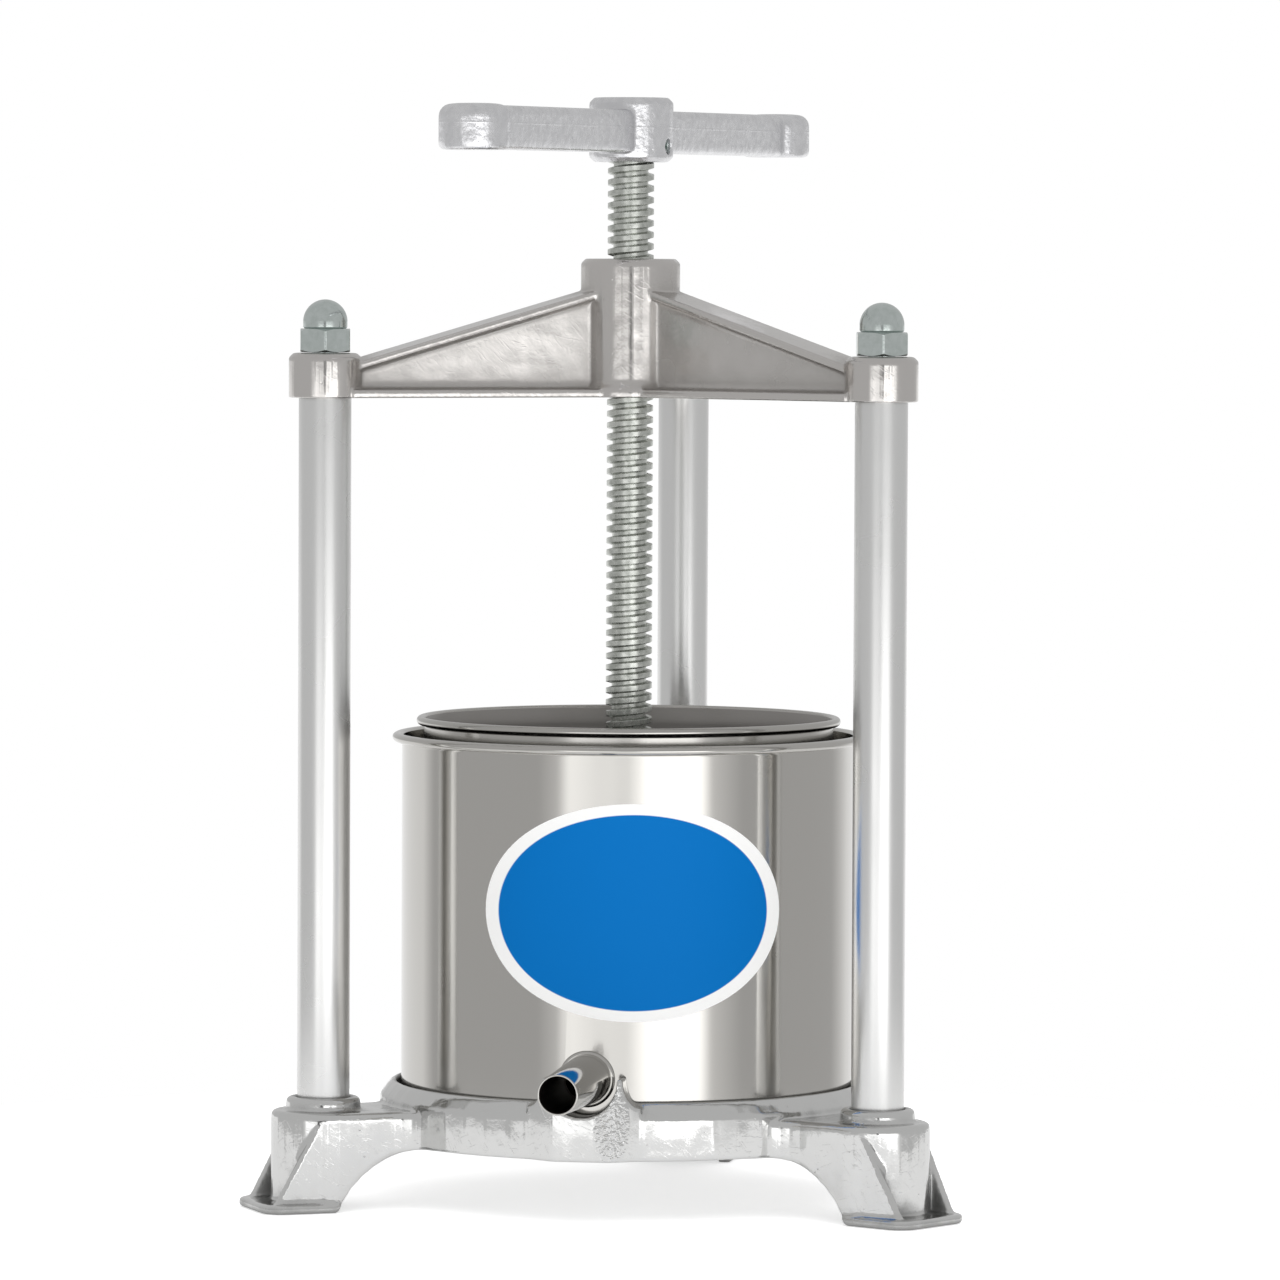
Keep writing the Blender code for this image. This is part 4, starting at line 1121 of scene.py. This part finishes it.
@dataclass
class Studio:
    """A pale floor, a grey room with two broad low lights in front of the press, and the camera.

    Args:
        azimuth: How far the camera stands to the right of the spout, in degrees.
        axis_px: Where the screw's axis lies in the frame, from the left.
        horizon_px: Where the camera's height lies in the frame, from the top.
        peak: What the lights' levels are divided by, because a ramp holds no more than 1.
    """

    azimuth: float = 10.0
    distance: float = 2912 * MM
    height: float = 335 * MM
    focal_px: float = 8400.0
    image_px: float = 1280.0
    axis_px: float = 629.0
    horizon_px: float = 232.8
    roll: float = 0.0045
    floor_r: float = 380 * MM
    grey: float = 0.58
    peak: float = 3.0

    def build(self) -> None:
        """Sets up everything that isn't the press."""
        self.camera()
        self.floor()
        self.surround()
        self.lamp()
        bpy.context.scene.view_settings.view_transform = "Standard"

    def camera(self) -> None:
        """A long lens, almost level, a little to the right of the spout."""
        turn = math.radians(self.azimuth)
        ahead = Vector((-math.sin(turn), math.cos(turn), 0))
        right = Vector((math.cos(turn), math.sin(turn), 0))
        up = Vector((0, 0, 1))
        half = self.image_px / 2
        yaw = math.atan((half - self.axis_px) / self.focal_px)
        pitch = math.atan((half - self.horizon_px) / self.focal_px)
        level = ahead * math.cos(yaw) + right * math.sin(yaw)
        right = right * math.cos(yaw) - ahead * math.sin(yaw)
        view = level * math.cos(pitch) - up * math.sin(pitch)
        top = up * math.cos(pitch) + level * math.sin(pitch)
        tilted_right = right * math.cos(self.roll) + top * math.sin(self.roll)
        tilted_up = top * math.cos(self.roll) - right * math.sin(self.roll)
        lens = bpy.data.cameras.new("camera")
        lens.sensor_width = 36
        lens.lens = self.focal_px / self.image_px * lens.sensor_width
        lens.clip_start, lens.clip_end = 0.1, 100
        camera = bpy.data.objects.new("camera", lens)
        bpy.context.scene.collection.objects.link(camera)
        axes = Matrix((tilted_right, tilted_up, -view)).transposed().to_4x4()
        where = -ahead * self.distance
        camera.matrix_world = Matrix.Translation((where.x, where.y, self.height)) @ axes
        bpy.context.scene.camera = camera

    def floor(self) -> None:
        """A round matt table, lifted to white for the camera so that its edge doesn't show."""
        shape = bmesh.new()
        bmesh.ops.create_circle(shape, cap_ends=True, segments=96, radius=self.floor_r)
        bmesh.ops.translate(shape, vec=(0, 0, -0.2 * MM), verts=shape.verts)
        floor = held(shape, "floor")
        material, add, shader = new_material("painted_studio_floor", metallic=0.0)
        matt = {"Base Color": linear("#f2f2f2"), "Roughness": 0.9, "Specular IOR Level": 0.0}
        feed(shader, matt)
        # Metal sees the floor lifted as well, but not so far that it clips
        seen, mirrored = 0.6, 0.2
        ray = add("LightPath").node.outputs
        direct = add("Math", {0: ray["Is Camera Ray"], 1: seen}, operation="MULTIPLY")
        rays = {0: ray["Is Glossy Ray"], 1: ray["Is Transmission Ray"]}
        bounced = add("Math", rays, operation="MAXIMUM")
        glow = add("Math", {0: bounced, 1: mirrored, 2: direct}, operation="MULTIPLY_ADD")
        lit = add("Emission", {"Color": (1, 1, 1, 1), "Strength": glow})
        both = add("AddShader", {0: shader.outputs[0], 1: lit})
        feed(material.node_tree.nodes["Material Output"], {"Surface": both})
        floor.data.materials.append(material)

    def surround(self) -> None:
        """White behind, grey at the sides, and two broad soft lights low in front."""
        world = bpy.data.worlds.new("studio")
        bpy.context.scene.world = world
        world.use_nodes = True
        add = partial(add_node, world.node_tree)
        way = add("TexCoord", out="Generated")
        # Turned so that the camera's direction is +X
        turn = (0, 0, math.radians(90 - self.azimuth))
        level = add("Mapping", {"Vector": way, "Rotation": turn})
        parts = add("SeparateXYZ", {0: level}).node.outputs
        bearing = add("Math", {0: parts[1], 1: parts[0]}, operation="ARCTAN2")
        share = add("MapRange", {0: bearing, 1: -math.pi, 2: math.pi})
        bands = add("ValToRGB", {0: share})
        self.set_bands(bands.node.color_ramp)
        ring = add("Math", {0: bands, 1: self.peak}, operation="MULTIPLY")
        # The lights stand on the table, so above the horizon the room is grey
        above = add("MapRange", {0: parts[2], 1: -0.014, 2: 0.004})
        room = add("Mix", {0: above, 2: ring, 3: self.grey}, data_type="FLOAT")
        stand = self.stand(add, bearing, parts[2])
        strength = add("Mix", {0: stand, 2: room, 3: 0.1}, data_type="FLOAT")
        seen = add("LightPath", out="Is Camera Ray")
        shown = add("Mix", {0: seen, 2: strength, 3: 1.0}, data_type="FLOAT")
        feed(world.node_tree.nodes["Background"], {"Color": (1, 1, 1, 1), "Strength": shown})

    def set_bands(self, ramp: bpy.types.ColorRamp) -> None:
        """Sets how bright the room is all round, by the bearing from the camera in degrees."""
        grey, soft_left, soft_right, white = self.grey, 1.65, 2.2, 1.0
        stops = [(-180, white), (-128, white), (-117, grey), (-46, grey), (-36, grey * 1.4)]
        stops += [(-30, soft_left), (-15, soft_left * 0.85), (0, soft_left * 0.85)]
        stops += [(10, soft_right), (37, soft_right), (43, grey * 1.6), (60, grey)]
        stops += [(127, grey), (148, white), (180, white)]
        ramp.interpolation = "LINEAR"
        for i, (angle, level) in enumerate(stops):
            at = (angle + 180) / 360
            stop = ramp.elements[i] if i < 2 else ramp.elements.new(at)
            stop.position = at
            stop.color = (level / self.peak, level / self.peak, level / self.peak, 1)

    def stand(self, add: Adder, bearing: Socket, rise: Socket) -> Socket:
        """1 where the dark camera on its stand is, straight in front at its own height."""
        aside = add("Math", {0: bearing}, operation="ABSOLUTE")
        above = add("Math", {0: rise}, operation="ABSOLUTE")
        wide = add("MapRange", {0: aside, 1: 0.09, 2: 0.12, 3: 1.0, 4: 0.0})
        tall = add("MapRange", {0: above, 1: 0.03, 2: 0.045, 3: 1.0, 4: 0.0})
        return add("Math", {0: wide, 1: tall}, operation="MULTIPLY")

    def lamp(self) -> None:
        """A large soft lamp, high in front, which puts a faint shadow on the floor."""
        light = bpy.data.lights.new("overhead", "AREA")
        light.shape = "DISK"
        light.size = 1.8
        light.energy = 15.0
        lamp = bpy.data.objects.new("overhead", light)
        bpy.context.scene.collection.objects.link(lamp)
        # It lights the floor and the label, and isn't seen as a disc in the metal
        lamp.visible_glossy = False
        aim = Vector((0, 0, 0.3))
        lamp.location = (0.3, -0.9, 1.5)
        lamp.rotation_euler = (lamp.location - aim).to_track_quat("Z", "Y").to_euler()


def main() -> None:
    """Builds the studio and every piece, in order."""
    logging.basicConfig(level=logging.INFO, format="%(relativeCreated)6d ms %(message)s")
    Studio().build()
    castings = [
        Casting("base_casting", Body.FRAME, "casting", voxel=0.5 * MM, passes=16, keep=0.2),
        Casting("yoke_casting", Body.FRAME, "yoke", voxel=0.4 * MM, passes=13, keep=0.2),
        Casting("handle_casting", Body.SCREW, "handle", voxel=0.4 * MM, passes=16, keep=0.3),
        Casting("press_plate", Body.PLATE, "plate", voxel=0.6 * MM, passes=10, keep=0.25),
    ]
    for part in (*castings, Fasteners(), PressScrew(), Vessel(), Basket()):
        part.build()


if __name__ == "__main__":
    main()
